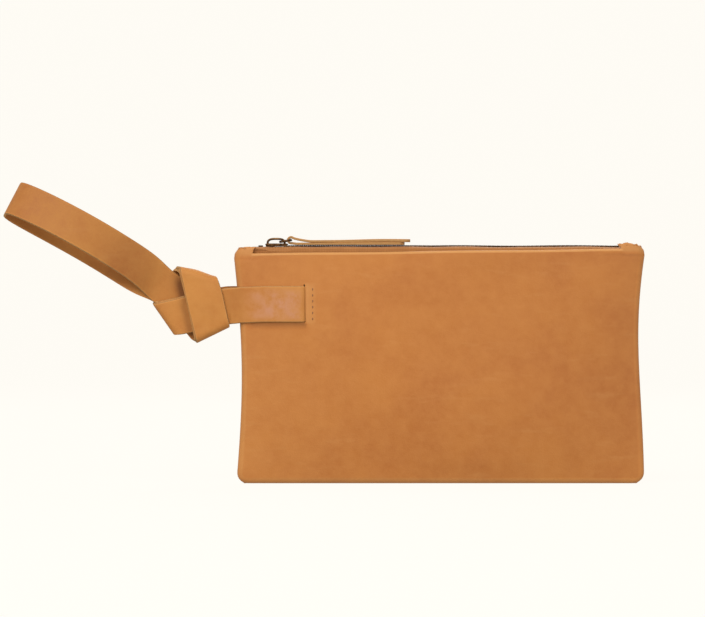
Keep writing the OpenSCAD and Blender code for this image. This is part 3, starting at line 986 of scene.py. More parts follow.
    def seam_thread(self, finishes: Finishes) -> tuple[bpy.types.Object, bpy.types.Object]:
        """Builds the stitches that show deep in the side and bottom seams.

        Returns:
            The side seams' thread and the bottom seam's thread.
        """
        reach = np.linspace(-1.4, 1.4, 5)
        sides, bottom = [], []
        for side in (-1, 1):
            count = int((self.height - self.corner_r - self.turn_in) / self.stitch_pitch)
            for i in range(count):
                z = self.corner_r + (i + 0.5) * self.stitch_pitch
                x = side * (float(self.edge_x(z, side)) - 1.15)
                path = np.stack([np.full(5, x), reach, np.full(5, z)], axis=1)
                sides.append(Skin(tube(path, self.thread_r, np.array([0.0, 0.0, 1.0]), 8)))
        count = int((2 * self.half_width - 2 * self.corner_r) / self.stitch_pitch)
        for i in range(count):
            x = (i - (count - 1) / 2) * self.stitch_pitch
            path = np.stack([np.full(5, x), reach, np.full(5, 1.15)], axis=1)
            bottom.append(Skin(tube(path, self.thread_r, np.array([1.0, 0.0, 0.0]), 8)))
        return (
            mesh_of("side_seam_thread", sides, [finishes.thread]),
            mesh_of("bottom_seam_thread", bottom, [finishes.thread]),
        )

    def build(self, finishes: Finishes) -> None:
        """Builds and dresses the pouch."""
        for face, word in ((Side.FRONT, "front"), (Side.BACK, "back")):
            settle(self.panel(finishes, face), "pouch", Slot.PANEL, f"{word}_panel")
            settle(self.lining(finishes, face), "pouch", Slot.LINING, f"lining_{word}")
        side, bottom = self.seam_thread(finishes)
        settle(side, "pouch", Slot.THREAD, "side_seam_stitches")
        settle(bottom, "pouch", Slot.THREAD, "bottom_seam_stitches")


# ---------------------------------------------------------------- zip


@dataclass
class Zip:
    """The metal zip: two tapes, two rows of teeth, and the stops at its ends."""

    pouch: Pouch
    pitch: float = 2.3
    # One more than the free teeth: the first stands in the slider's mouth
    count: int = 76
    first_x: float = -82.1
    chain_w: float = 5.2
    tooth_h: float = 2.0
    tooth_z: float = 124.2
    tape_z: float = 125.2
    tape_t: float = 0.5
    tape_low: float = 109.0
    tape_left: float = -101.6
    tape_right: float = 98.6
    wave: float = 0.14

    def sway(self, x: Any) -> Any:
        """How far the soft zip rises or falls at x, which is little, as the slider runs on it."""
        run = np.sin(np.asarray(x, float) / 9.5 + 0.6) * ease(-15, 5, x)
        return self.wave * (run + 0.8 * ease(-82, -78, x) * ease(0, -15, x))

    def tooth(self, x: float, length: float, head: float, back: float) -> Skin:
        """One tooth or stop clamped on a tape.

        Args:
            x: where its left face is.
            length: its length along the zip.
            head: how far its head reaches past the middle plane.
            back: how far its jaws reach onto the tape.

        Returns:
            Its surface, for the front tape.
        """
        low, high = 0.0, self.tooth_h
        outline = np.array(
            [
                [head, 0.55], [head, high - 0.55], [head - 0.25, high - 0.15], [head - 0.8, high], [-1.2, high],
                [-back + 0.7, high - 0.05], [-back + 0.15, high - 0.3], [-back, high - 0.6],
                [-back, 0.6], [-back + 0.15, 0.3], [-back + 0.7, 0.05], [-1.2, low], [head - 0.8, low],
                [head - 0.25, 0.15],
            ]
        )
        outline = np.roll(outline, -1, axis=0)
        middle = np.array([(head - back) / 2, high / 2])
        rings = []
        near_end = ((0.0, 0.86), (0.12, 0.97), (0.3, 1.0))
        far_end = ((length - 0.3, 1.0), (length - 0.12, 0.97), (length, 0.86))
        for along, scale in near_end + far_end:
            shape = middle + (outline - middle) * scale
            z = self.tooth_z + float(self.sway(x)) + shape[:, 1]
            rings.append(np.stack([np.full(len(shape), x + along), shape[:, 0], z], axis=1))
        rings = np.stack(rings)
        wear_and_shade = np.where(rings[:, :, 2] > self.tooth_z + self.tooth_h - 0.3, 0.25, 0.0)
        return Skin(rings, wear_and_shade=wear_and_shade)

    def teeth(self, finishes: Finishes, face: Side) -> bpy.types.Object:
        """Builds the teeth of one tape."""
        shift = 0.0 if face is Side.FRONT else self.pitch / 2
        length = self.pitch / 2 - 0.06
        skins = [
            self.tooth(self.first_x + shift + i * self.pitch, length, 0.9, self.chain_w / 2) for i in range(self.count)
        ]
        for skin in skins:
            skin.rings[:, :, 1] *= -face.sign
        name = "zip_teeth_on_front_tape" if face is Side.FRONT else "zip_teeth_on_back_tape"
        return mesh_of(name, skins, [finishes.teeth])

    def stops(self, finishes: Finishes) -> tuple[bpy.types.Object, bpy.types.Object]:
        """Builds the stops.

        Returns:
            The pair of top stops and the bottom stop.
        """
        top = []
        for sign in (-1, 1):
            skin = self.tooth(-95.6, 2.4, -0.5, self.chain_w / 2)
            skin.rings[:, :, 1] *= sign
            top.append(skin)
        end = self.first_x + self.count * self.pitch + 0.1
        bottom = self.tooth(end, 2.6, self.chain_w / 2, self.chain_w / 2)
        return (
            mesh_of("zip_top_stop_pair", top, [finishes.teeth]),
            mesh_of("zip_bottom_stop_clamp", [bottom], [finishes.teeth]),
        )

    def tape(self, finishes: Finishes, face: Side) -> bpy.types.Object:
        """Builds one tape, from the teeth over its shoulder and down inside the leather."""
        stations = np.linspace(self.tape_left, self.tape_right, 150)
        heights = np.array([123.9, 123.0, 121.6, 119.0, 115.0, self.tape_low])
        rows = []
        for x in stations:
            sway = float(self.sway(x)) + 0.1 * math.sin(x / 5.2 + face.sign)
            dive = 4.0 * float(ease(-98.9, -101.4, x)) + 3.0 * float(ease(97.0, 98.6, x))
            sag = 1.3 * float(ease(-93.5, -89.0, x) * ease(-75.0, -80.0, x))
            wall = self.pouch.face_y(x, np.minimum(heights, 122.4), Side.FRONT) - 3.12
            flat = [[1.72, 0.0], [2.3, 0.0], [3.0, -0.12], [3.6, -0.28], [4.05, -0.46], [4.4, -0.72], [4.6, -1.05]]
            line = [[y, self.tape_z + z + sway - dive - sag * float(ease(3.2, 4.3, y))] for y, z in flat]
            for level, (y, z) in enumerate(zip(wall, heights)):
                blend = min(1.0, 0.45 + 0.3 * level)
                line.append([4.62 + (float(y) - 4.62) * blend, z - dive * 0.5 - sag * max(0.0, 0.8 - 0.4 * level)])
            points = np.array(line)
            rows.append(np.stack([np.full(len(points), x), -points[:, 0], points[:, 1]], axis=1))
        rings = layered(np.stack(rows), -self.tape_t / 2, self.tape_t / 2)
        rings[:, :, 1] *= -face.sign
        name = face.named("woven_zip_tape")
        return mesh_of(name, [Skin(rings)], [finishes.tape])

    def build(self, finishes: Finishes, frame: Mapping[str, Any]) -> None:
        """Builds and dresses the zip.

        Args:
            finishes: the materials.
            frame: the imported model, whose hidden mouth stitches are kept.
        """
        for face, word in ((Side.FRONT, "front"), (Side.BACK, "back")):
            settle(self.teeth(finishes, face), "pouch", Slot.METAL, f"zip_teeth_{word}")
            settle(self.tape(finishes, face), "pouch", Slot.TAPE, f"zip_tape_{word}")
            stitches = frame["nodes"][f"mouth_stitches_{word}"]
            stitches.data.materials.clear()
            stitches.data.materials.append(finishes.thread)
        top, bottom = self.stops(finishes)
        settle(top, "pouch", Slot.METAL, "zip_top_stops")
        settle(bottom, "pouch", Slot.METAL, "zip_bottom_stop")


# ---------------------------------------------------------------- slider and pull


@dataclass
class Slider:
    """The zip slider with its bail, the wire ring in the bail, and the leather pull tab on the ring."""

    x: float = -92.0
    length: float = 12.2
    nose_w: float = 7.8
    tail_w: float = 6.4
    plate: float = 0.8
    top: float = 127.2
    bottom: float = 123.2
    bail_from: float = 0.7
    bail_to: float = 10.9
    bail_w: float = 2.2
    bail_t: float = 1.15
    bail_h: float = 2.45
    ring_x: float = -84.1
    ring_z: float = 128.05
    ring_tilt: float = 9.0
    ring_l: float = 5.9
    ring_w: float = 8.6
    ring_bend: float = 1.5
    wire: float = 1.1
    tab_l: float = 64.0
    tab_w: float = 8.0
    tab_t: float = 1.35
    tab_low: float = 126.42
    eye_w: float = 5.3

    def plan(self, points: int = 40) -> np.ndarray:
        """The outline of a slider plate, wide at the nose and narrower at the tail."""
        turn = (np.arange(points) + 0.5) * 2 * math.pi / points
        x = self.length / 2 * (1 + np.sign(np.cos(turn)) * np.abs(np.cos(turn)) ** 0.62)
        width = self.nose_w + (self.tail_w - self.nose_w) * x / self.length
        y = width / 2 * np.sign(np.sin(turn)) * np.abs(np.sin(turn)) ** 0.5
        return np.stack([x, y], axis=1)

    def plate_skin(self, low: float, levels: Sequence[tuple[float, float]]) -> Skin:
        """A plate built up from its outline.

        Args:
            low: height of its lowest face.
            levels: for each ring, its height above low and how far it is set in.

        Returns:
            Its surface.
        """
        outline = self.plan()
        middle = np.array([self.length / 2, 0.0])
        rings, wear_and_shade = [], []
        for rise, inset in levels:
            scale = 1 - inset / np.array([self.length / 2, self.nose_w / 2])
            shape = middle + (outline - middle) * scale
            rings.append(np.stack([self.x + shape[:, 0], shape[:, 1], np.full(len(shape), low + rise)], axis=1))
            wear_and_shade.append(np.full(len(shape), 0.35 if 0.05 < inset < 0.5 else 0.0))
        return Skin(np.stack(rings), wear_and_shade=np.stack(wear_and_shade))

    def body(self, finishes: Finishes) -> bpy.types.Object:
        """Builds the slider's body: two plates, the flanges between them and the wedge."""
        t = self.plate
        skins = [
            self.plate_skin(self.top - t, [(0.0, 0.3), (0.12, 0.06), (0.3, 0.0), (0.5, 0.06), (0.68, 0.3), (t, 0.9)]),
            self.plate_skin(self.bottom, [(0.0, 0.8), (0.12, 0.3), (0.3, 0.06), (0.5, 0.0), (0.68, 0.06), (t, 0.3)]),
        ]
        inner_low, inner_high = self.bottom + t, self.top - t
        slot_low, slot_high = 125.2 - 0.5, 125.2 + 0.5
        for sign in (-1, 1):
            for low, high in ((inner_low - 0.1, slot_low), (slot_high, inner_high + 0.1)):
                rings = []
                flange_end = ((self.length - 1.0, 1.0), (self.length - 0.7, 0.7))
                for x, scale in ((2.0, 0.7), (2.3, 1.0), (6.6, 1.0)) + flange_end:
                    outer = (self.nose_w + (self.tail_w - self.nose_w) * x / self.length) / 2 - 0.02
                    centre = outer - 0.275
                    half, tall = 0.275 * scale, (high - low) / 2
                    square = np.array([[-half, -tall], [half, -tall], [half, tall], [-half, tall]])
                    rings.append(
                        np.stack(
                            [
                                np.full(4, self.x + x),
                                sign * (centre + square[:, 0]),
                                (low + high) / 2 + square[:, 1],
                            ],
                            axis=1,
                        )
                    )
                skins.append(Skin(np.stack(rings)))
        post = np.array([[0.25, 0.75], [1.3, 1.0], [2.6, 0.95], [4.0, 0.5], [5.1, 0.08]])
        outline = np.concatenate([post, post[::-1] * [1, -1]])
        levels = (inner_low - 0.1, inner_high + 0.1)
        skins.append(
            Skin(np.stack([np.stack([self.x + outline[:, 0], outline[:, 1], np.full(10, z)], axis=1) for z in levels]))
        )
        return mesh_of("slider_plates", skins, [finishes.slider], sharp=50)

    def bail(self, finishes: Finishes) -> bpy.types.Object:
        """Builds the bail, a low arch of flat wire that stands on the top plate."""
        turn = np.radians(np.linspace(180, 0, 31))
        middle, half = (self.bail_from + self.bail_to) / 2, (self.bail_to - self.bail_from - self.bail_t) / 2
        x = self.x + middle + half * np.sign(np.cos(turn)) * np.abs(np.cos(turn)) ** 0.75
        z = self.top - 0.15 + (self.bail_h + 0.15) * np.abs(np.sin(turn)) ** 0.62
        y = self.bail_w / 2 * np.array([-1.0, -0.86, -0.5, 0.0, 0.5, 0.86, 1.0])
        grid = np.stack([np.broadcast_to(a, (31, 7)) for a in (x[:, None], y[None], z[:, None])], axis=2)
        rings = layered(grid, -self.bail_t / 2, self.bail_t / 2, rounding=0.5)
        wear_and_shade = np.broadcast_to(0.5 * bump_at(x, self.x + middle, 2.5)[:, None], rings.shape[:2])
        return mesh_of("slider_bail_arch", [Skin(rings, wear_and_shade=wear_and_shade)], [finishes.slider], sharp=60)

    def ring(self, finishes: Finishes) -> bpy.types.Object:
        """Builds the pull ring, a wire bent to a rounded rectangle."""
        path = []
        for quarter, (sx, sy) in enumerate(((1, 1), (-1, 1), (-1, -1), (1, -1))):
            centre = np.array(
                [sx * (self.ring_l / 2 - self.ring_bend), sy * (self.ring_w / 2 - self.ring_bend)]
            )
            for step in np.radians(np.linspace(0, 90, 9) + 90 * quarter):
                path.append(centre + self.ring_bend * np.array([math.cos(step), math.sin(step)]))
        flat = np.array(path)
        previous, following = np.roll(flat, 1, axis=0), np.roll(flat, -1, axis=0)
        along = following - previous
        along /= np.linalg.norm(along, axis=1, keepdims=True)
        out = np.stack([along[:, 1], -along[:, 0]], axis=1)
        turn = np.arange(12) * 2 * math.pi / 12
        x = flat[:, None, 0] + self.wire / 2 * out[:, None, 0] * np.cos(turn)
        y = flat[:, None, 1] + self.wire / 2 * out[:, None, 1] * np.cos(turn)
        z = np.broadcast_to(self.wire / 2 * np.sin(turn), x.shape)
        tilt = math.radians(self.ring_tilt)
        x = x + self.ring_l / 2
        rings = np.stack(
            [
                self.ring_x + x * math.cos(tilt) - z * math.sin(tilt),
                y,
                self.ring_z + x * math.sin(tilt) + z * math.cos(tilt),
            ],
            axis=2,
        )
        return mesh_of("pull_ring_wire", [Skin(rings, closed=True)], [finishes.slider], sharp=80)

    def tab(self, finishes: Finishes) -> bpy.types.Object:
        """Builds the pull tab, one strip folded round the ring and glued back on itself."""
        tilt = math.radians(self.ring_tilt)
        eye = np.array([self.ring_x + self.ring_l * math.cos(tilt), self.ring_z + self.ring_l * math.sin(tilt)])
        low = self.tab_low + self.tab_t / 2
        high = low + self.tab_t + 0.04
        end = eye[0] + self.tab_l - 0.8
        radius = 1.6
        short = 3.0
        back = np.concatenate([[0, 0.3, 0.8, 1.5, 2.4, 3.4], np.linspace(4.5, 57.5, 30)])
        under = [[end - short - t, low] for t in back]
        round_eye = [
            [eye[0] + radius * math.cos(a), eye[1] + radius * math.sin(a)]
            for a in np.radians(np.linspace(-75, -285, 19))
        ]
        over = hermite(
            np.array([eye[0] + 1.0, eye[1] + 1.35]),
            np.array([6.0, -2.4]),
            np.array([eye[0] + 11.0, high]),
            np.array([6.0, 0.0]),
            np.linspace(0.08, 1.0, 10),
        ).tolist()
        start = eye[0] + 11.0
        over += [[start + t * (end - start), high] for t in np.linspace(0.06, 0.93, 24)]
        over += [[end - t, high] for t in (3.0, 2.2, 1.4, 0.8, 0.3, 0.0)]
        path = np.array(under + round_eye + over)
        swell = ease(eye[0] + 12, eye[0] + 48, path[:, 0])
        on_top = np.arange(len(path)) >= len(under) + len(round_eye)
        thick = self.tab_t * (0.9 + 0.22 * swell)
        path[:, 1] += np.where(on_top, 1.5, 0.5) * (thick - self.tab_t) + 0.06 * on_top * np.sin(path[:, 0] / 6.0)
        half = self.eye_w / 2 + (self.tab_w - self.eye_w) / 2 * ease(eye[0] + 1, eye[0] + 12, path[:, 0])
        tips = np.concatenate([np.full(len(under), end - short), np.full(len(path) - len(under), end)])
        reach = np.clip(tips - path[:, 0], 0, 4.0) / 4.0
        half = half * np.sqrt(np.clip(1 - (1 - reach) ** 2, 0.02, 1)) ** 0.8
        across = np.array([-1.0, -0.96, -0.85, -0.5, 0.0, 0.5, 0.85, 0.96, 1.0])
        grid = np.stack(
            [
                np.broadcast_to(path[:, :1], (len(path), 9)),
                half[:, None] * across[None],
                np.broadcast_to(path[:, 1:], (len(path), 9)),
            ],
            axis=2,
        )
        rings = layered(grid, -thick / 2, thick / 2, rounding=0.22)
        wear_and_shade = sheet_wear(len(path), 9, np.zeros(1), 0.5)
        skin = Skin(rings, edge=(8, 17), wear_and_shade=wear_and_shade)
        return mesh_of("leather_pull_tab", [skin], [finishes.strap, finishes.edge])

    def build(self, finishes: Finishes) -> None:
        """Builds and dresses the slider and its pull."""
        settle(self.body(finishes), "slider", Slot.SLIDER, "slider_body")
        settle(self.bail(finishes), "slider", Slot.SLIDER, "slider_bail")
        settle(self.ring(finishes), "ring", Slot.SLIDER, "pull_ring")
        settle(self.tab(finishes), "tab", Slot.STRAP, "pull_tab")


# ---------------------------------------------------------------- strap


@dataclass(frozen=True)
class Fold:
    """One fold of the strap in the knot.

    Attributes:
        run: length of the middle line from the last fold to this one.
        heading: where the strap heads after it, in degrees in the X-Z plane.
        depth: Y of the strap's middle after it.
        bend: radius of the bend.
        pinch: how far the strap's first edge is drawn in there.
    """

    run: float
    heading: float
    depth: float
    bend: float
    pinch: float = 0.0


def direction(degrees: float) -> np.ndarray:
    """The unit vector at an angle."""
    return np.array([math.cos(math.radians(degrees)), math.sin(math.radians(degrees))])


@dataclass
class Strap:
    """The strap: sewn through both panels, doubled, tied in an overhand knot, and a loop at the end."""

    pouch: Pouch
    width: float = 19.2
    leather: float = 1.35
    z: float = 95.0
    gap: float = 0.05
    neck_x: float = -108.764
    split: tuple[float, float] = (-131.5, 89.67)
    split_heading: float = 192.5
    depth: float = -1.15
    folds: tuple[Fold, ...] = (
        Fold(11.2, 57.0, 4.65, 1.9, 1.4),
        Fold(24.0, -77.0, -4.15, 2.4, 3.2),
        Fold(28.0, 129.0, 1.75, 1.9),
    )
    last_run: float = 14.0
    root: tuple[float, float] = (-149.864, 106.5)
    loop_l: float = 87.8
    loop_gap: float = 30.0
    loop_heading: float = 31.0
    loop_roll: float = 13.5
    # The legs part a little inside the hinge line, and the loop bows up and droops at its end
    early: float = 5.0
    part: float = 3.1
    bow: float = 1.4
    droop: float = 1.6
    stitch_pitch: float = 3.1
    thread_r: float = 0.3
    across: np.ndarray = field(init=False)

    def __post_init__(self) -> None:
        """Sets the places of the columns across the strap."""
        half = self.width / 2
        edge = [half - 1.1, half - 0.62, half]
        self.across = np.concatenate([[-e for e in edge[::-1]], np.linspace(-half + 1.9, half - 1.9, 19), edge])

    @property
    def edge_strips(self) -> tuple[int, int]:
        """The strips of a ring that show the cut edge."""
        return len(self.across) - 1, 2 * len(self.across) - 1

    def wear_of(self, grid: np.ndarray) -> np.ndarray:
        """Light rubbed edges for a strip of strap."""
        return sheet_wear(grid.shape[0], grid.shape[1], np.zeros(1), 0.45)

    # ---- the sewn ends

    def descent(self, x: float) -> float:
        """The share of the pouch's thickness that the strap still stands out at x, beyond its side."""
        straight = float(np.clip((x + 119.0) / 15.4, 0.0, 1.0))
        return 0.6 * straight + 0.4 * float(ease(0.0, 1.0, straight))

    def end_grid(self, face: Side) -> np.ndarray:
        """The middle surface of one sewn end, from inside the pouch to under the knot.

        Args:
            face: the front or back end.

        Returns:
            Its points, rows along the strap and columns across it.
        """
        slit = self.pouch.slit_x
        stand = self.leather / 2 + 0.1
        inside = -self.pouch.leather - stand
        # Along the face: x and how far the strap's middle stands off the face
        line = [[slit + 8.0 - t, inside] for t in (0.0, 1.6, 3.2, 4.8, 6.0)]
        line += [[slit + 0.8, inside * 0.92], [slit + 0.1, inside * 0.72], [slit - 0.25, inside * 0.4]]
        line += [[slit - 0.7, -0.25], [slit - 0.76, 0.22], [slit - 1.0, 0.56], [slit - 1.45, 0.74]]
        line += [[slit - 2.1, stand], *([x, stand] for x in np.linspace(slit - 3.0, -103.6, 34))]
        flat = np.array(line)
        rows = []
        hang = 0.45 if face is Side.FRONT else 0.0
        for x, off in flat:
            z = self.z + self.across - hang * ease(-92.0, -104.0, x)
            y = self.pouch.face_y(np.full_like(z, x), z, face) + off
            rows.append(np.stack([np.full_like(z, x), -y, z], axis=1))
        # Over the pouch's edge, into the neck
        face_half = -np.stack(rows)[-1][:, 1]
        neck_off = self.leather / 2 + self.gap
        for x in np.linspace(-104.2, -110.0, 9):
            y = neck_off + (face_half - neck_off) * self.descent(x)
            z = self.z + self.across - hang * (1 + 1.0 * ease(-104.0, -110.0, x))
            rows.append(np.stack([np.full_like(y, x), -y, z], axis=1))
        # The doubled strap from the neck to the split under the knot
        start, end = np.array([-110.0, self.z - 2 * hang]), np.array(self.split)
        heading = direction(self.split_heading)
        steps = np.linspace(0.06, 1.0, 26)
        centre = hermite(start, np.array([-18.0, -4.4 * hang]), end, heading * 22.0, steps)
        slope = np.gradient(centre, axis=0)
        slope /= np.linalg.norm(slope, axis=1, keepdims=True)
        shift = self.depth * ease(-109.6, -117.5, centre[:, 0])
        for (x, z), (dx, dz), middle in zip(centre, slope, shift):
            points = np.stack([x + self.across * dz, np.zeros_like(self.across), z - self.across * dx], axis=1)
            points[:, 1] = -neck_off - (face_half - neck_off) * self.descent(x)
            points[:, 1] += middle if face is Side.FRONT else -middle
            rows.append(points)
        return np.stack(rows)

    def end_piece(self, finishes: Finishes, face: Side) -> bpy.types.Object:
        """Builds one sewn end of the strap."""
        grid = self.end_grid(face)
        rings = layered(grid, -self.leather / 2, self.leather / 2, rounding=0.15, cant=0.4)
        rings[:, :, 1] *= -face.sign
        x, z = rings[:, :, 0], rings[:, :, 2]
        # Painted shade: darker towards the neck, and on the back end a dark band along the top edge near the knot
        wear_and_shade = self.wear_of(grid) - 0.12 * ease(-99.0, -106.0, x)
        if face is Side.BACK:
            wear_and_shade = wear_and_shade - 0.9 * ease(-103.0, -108.0, x) * ease(self.z + 8.7, self.z + 9.3, z)
        # Handled smooth, with a painted sheen: a pinkish patch beside the slit, fainter on the back end
        patch = (
            ease(-106.0, -90.0, x) * ease(self.pouch.slit_x - 0.2, self.pouch.slit_x - 5.0, x)
            * ease(self.z - 9.8, self.z - 6.0, z) * ease(self.z + 9.8, self.z + 4.0, z)
        )
        strength = 1.0 if face is Side.FRONT else 0.4
        burnish_and_sheen = patch * (0.75 + 0.25 * np.sin(x / 2.3) * np.sin(z / 1.7 + x / 5)) * strength
        name = face.named("strap_end")
        skin = Skin(rings, edge=self.edge_strips, wear_and_shade=wear_and_shade, burnish_and_sheen=burnish_and_sheen)
        return mesh_of(name, [skin], [finishes.strap, finishes.edge])

    # ---- the knot

    def knot_grid(self, slip: float = 0.0) -> tuple[np.ndarray, np.ndarray, np.ndarray]:
        """The middle surface of the knotted strap, and where it ends.

        Args:
            slip: how far this layer has slid sideways.

        Returns:
            Its points, the point where the loop takes over, and the heading there.
        """
        legs = []
        point, heading, depth = np.array(self.split), direction(self.split_heading), self.depth
        side = np.array([heading[1], -heading[0]])
        total = 0.0
        for fold in self.folds:
            crease_at = point + heading * fold.run
            after = direction(fold.heading)
            crease = (heading + after) / np.linalg.norm(heading + after)
            out = heading - crease * (heading @ crease)
            out /= np.linalg.norm(out)
            rise = abs(fold.depth - depth)
            length = math.pi * fold.bend + rise - 2 * fold.bend
            legs.append((total, point, heading, side, depth, crease_at, crease, out, fold, length))
            turn = length / (heading @ out)
            total += fold.run + turn
            point = crease_at + crease * (turn * (heading @ crease))
            heading = after
            side = 2 * (side @ crease) * crease - side
            depth = fold.depth
        end = point + heading * self.last_run
        stations = np.arange(0.0, total + self.last_run + 0.35, 0.7)
        stations[-1] = total + self.last_run
        u, v = np.meshgrid(stations, self.across + slip, indexing="ij")
        for start, *_, fold, length in legs:
            at = start + fold.run + length / 2
            v = v + np.where(v < 0, fold.pinch, 0.0) * bump_at(u, at, 5.5) * ease(0.0, -self.width / 2, v)
        flat = legs[0][1] + u[..., None] * legs[0][2] + v[..., None] * legs[0][3]
        y = np.full(u.shape, self.depth)
        done = np.zeros(u.shape, bool)
        for _, _, _, _, low, crease_at, crease, out, fold, length in legs:
            past = (flat - crease_at) @ out
            sign = math.copysign(1.0, fold.depth - low)
            rise = abs(fold.depth - low)
            r, straight = fold.bend, rise - 2 * fold.bend
            first = math.pi / 2 * r
            a = np.clip(past, 0, first) / r
            b = np.clip(length - past, 0, first) / r
            reach = np.where(past < first, r * np.sin(a), np.where(past < first + straight, r, r * np.sin(b)))
            climb = np.where(
                past < first,
                r * (1 - np.cos(a)),
                np.where(past < first + straight, r + past - first, rise - r * (1 - np.cos(b))),
            )
            along = (flat - crease_at) @ crease
            bending = ~done & (past > 0) & (past < length)
            beyond = ~done & (past >= length)
            on_fold = crease_at + crease * along[..., None] + out * reach[..., None]
            on_next = crease_at + crease * along[..., None] - out * (past - length)[..., None]
            flat = np.where(bending[..., None], on_fold, np.where(beyond[..., None], on_next, flat))
            y = np.where(bending, low + sign * climb, np.where(beyond, fold.depth, y))
            done |= ~beyond
        front_start = sum(leg[8].run + leg[9] for leg in legs[:2])
        bulge = bump_at(u, front_start + self.folds[2].run / 2, 9.0) * (1 - (v / (self.width / 2)) ** 2)
        # The top fold's free corner sags
        sag = 1.7 * ease(-131.0, -118.5, flat[..., 0]) * ease(99.0, 111.0, flat[..., 1])
        grid = np.stack([flat[..., 0], y - 0.8 * bulge, flat[..., 1] - sag], axis=2)
        return grid, end, heading

    def knot_shade(self, points: np.ndarray) -> np.ndarray:
        """How far shade is painted dark on the leather where one band lies under or beside another."""
        x, y, z = points[..., 0], points[..., 1], points[..., 2]
        beside = 1.05 * bump_at(x + (z - 100.5) * 0.26, -135.4, 3.2) * ease(113, 104, z)
        beside = beside * ease(-2.9, -2.2, y) * ease(1.9, 1.2, y)
        tucked = 0.5 * bump_at(x + (z - 90.0) * 0.25, -134.2, 2.2) * ease(-3.1, -2.7, y)
        return np.clip(beside * ease(93, 97, z) + tucked * ease(97, 93, z), 0, 0.95)

    def knot_piece(self, finishes: Finishes) -> bpy.types.Object:
        """Builds the knot, two layers of strap that fold over each other together."""
        half = self.leather + self.gap
        skins = []
        for low, high, slip in ((self.gap, half, 0.0), (-half, -self.gap, 0.75)):
            grid, _, _ = self.knot_grid(slip)
            rings = layered(grid, low, high, rounding=0.12, cant=0.42)
            shade = self.knot_shade(rings)
            skins.append(Skin(rings, edge=self.edge_strips, wear_and_shade=self.wear_of(grid) - shade))
        return mesh_of("strap_knot_bands", skins, [finishes.strap, finishes.edge])

    # ---- the loop

    def leg_line(self, near: bool) -> np.ndarray:
        """The part of one leg of the loop that lies inside the knot.

        Args:
            near: whether it is the leg at the front.

        Returns:
            Its points, from the knot to the root, row by row.
        """
        _, end, heading = self.knot_grid()
        away = direction(180 - self.loop_heading)
        root = np.array(self.root) - away * self.early
        reach = float(np.linalg.norm(root - end))
        centre = hermite(end, heading * reach, root, away * reach, np.linspace(0.0, 1.0, 26))[:-1]
        slope = np.gradient(centre, axis=0)
        slope /= np.linalg.norm(slope, axis=1, keepdims=True)
        off = (self.leather / 2 + self.gap) * (-1 if near else 1)
        rows = []
        for (x, z), (dx, dz) in zip(centre, slope):
            points = np.stack(
                [x + self.across * dz, np.full_like(self.across, self.folds[-1].depth + off), z - self.across * dx],
                axis=1,
            )
            rows.append(points)
        return np.stack(rows)

    def loop_grid(self) -> np.ndarray:
        """The middle surface of the loop: out along the near leg, round, and back along the far one."""
        outward, end, homeward = np.linspace(3, 150, 62), np.linspace(152.5, 207.5, 34), np.linspace(210, 357, 62)
        turns = np.radians(np.concatenate([outward, end, homeward]))
        length = self.loop_l + self.early
        s = length * (1 - np.cos(turns)) / 2
        part = 1 - np.exp(-((s / 27.0) ** 2))
        apart = self.part * (1 - np.exp(-((s / 9.0) ** 1.6))) * np.sqrt(np.abs(np.sin(turns))) * np.sign(np.sin(turns))
        gap = self.leather / 2 + self.gap
        depth = self.loop_gap / 2 * np.sin(turns) * part + gap * np.cos(turns / 2)
        roll = np.radians(self.loop_roll) * (1 - np.exp(-((s / 14.0) ** 2)))
        carry = self.folds[-1].depth * (1 - ease(0.0, 16.0, s))
        share = s / length
        lift = self.bow * np.sin(math.pi * share) - self.droop * share**2 + apart
        lean = (self.bow * math.pi * np.cos(math.pi * share) - 2 * self.droop * share) / length
        heading = math.radians(self.loop_heading)
        rows = []
        s = s - self.early
        for along, deep, r, back, raised, tip in zip(s, depth, roll, carry, lift, lean):
            up = self.across * math.cos(r) + raised
            along = along - self.across * tip
            y = self.across * math.sin(r) - deep * math.cos(r) + back
            rows.append(
                np.stack(
                    [
                        self.root[0] - along * math.cos(heading) + up * math.sin(heading),
                        y,
                        self.root[1] + along * math.sin(heading) + up * math.cos(heading),
                    ],
                    axis=1,
                )
            )
        return np.concatenate([self.leg_line(True), np.stack(rows), self.leg_line(False)[::-1]])

    def loop_piece(self, finishes: Finishes) -> bpy.types.Object:
        """Builds the wrist loop."""
        grid = self.loop_grid()
        rings = layered(grid, -self.leather / 2, self.leather / 2, rounding=0.15, cant=0.3)
        # Painted shade: the loop darker overall and more on its front leg, the knot's shade, and its upper cut edge
        # painted as a dark line
        wear_and_shade = self.wear_of(grid) - self.knot_shade(rings) - 0.14 - 0.12 * ease(1.5, -3.0, rings[..., 1])
        columns = len(self.across)
        wear_and_shade[:, columns - 1 : columns + 1] -= 1.0
        skin = Skin(rings, edge=self.edge_strips, wear_and_shade=wear_and_shade)
        return mesh_of("wrist_loop_band", [skin], [finishes.strap, finishes.edge])

    # ---- the stitches

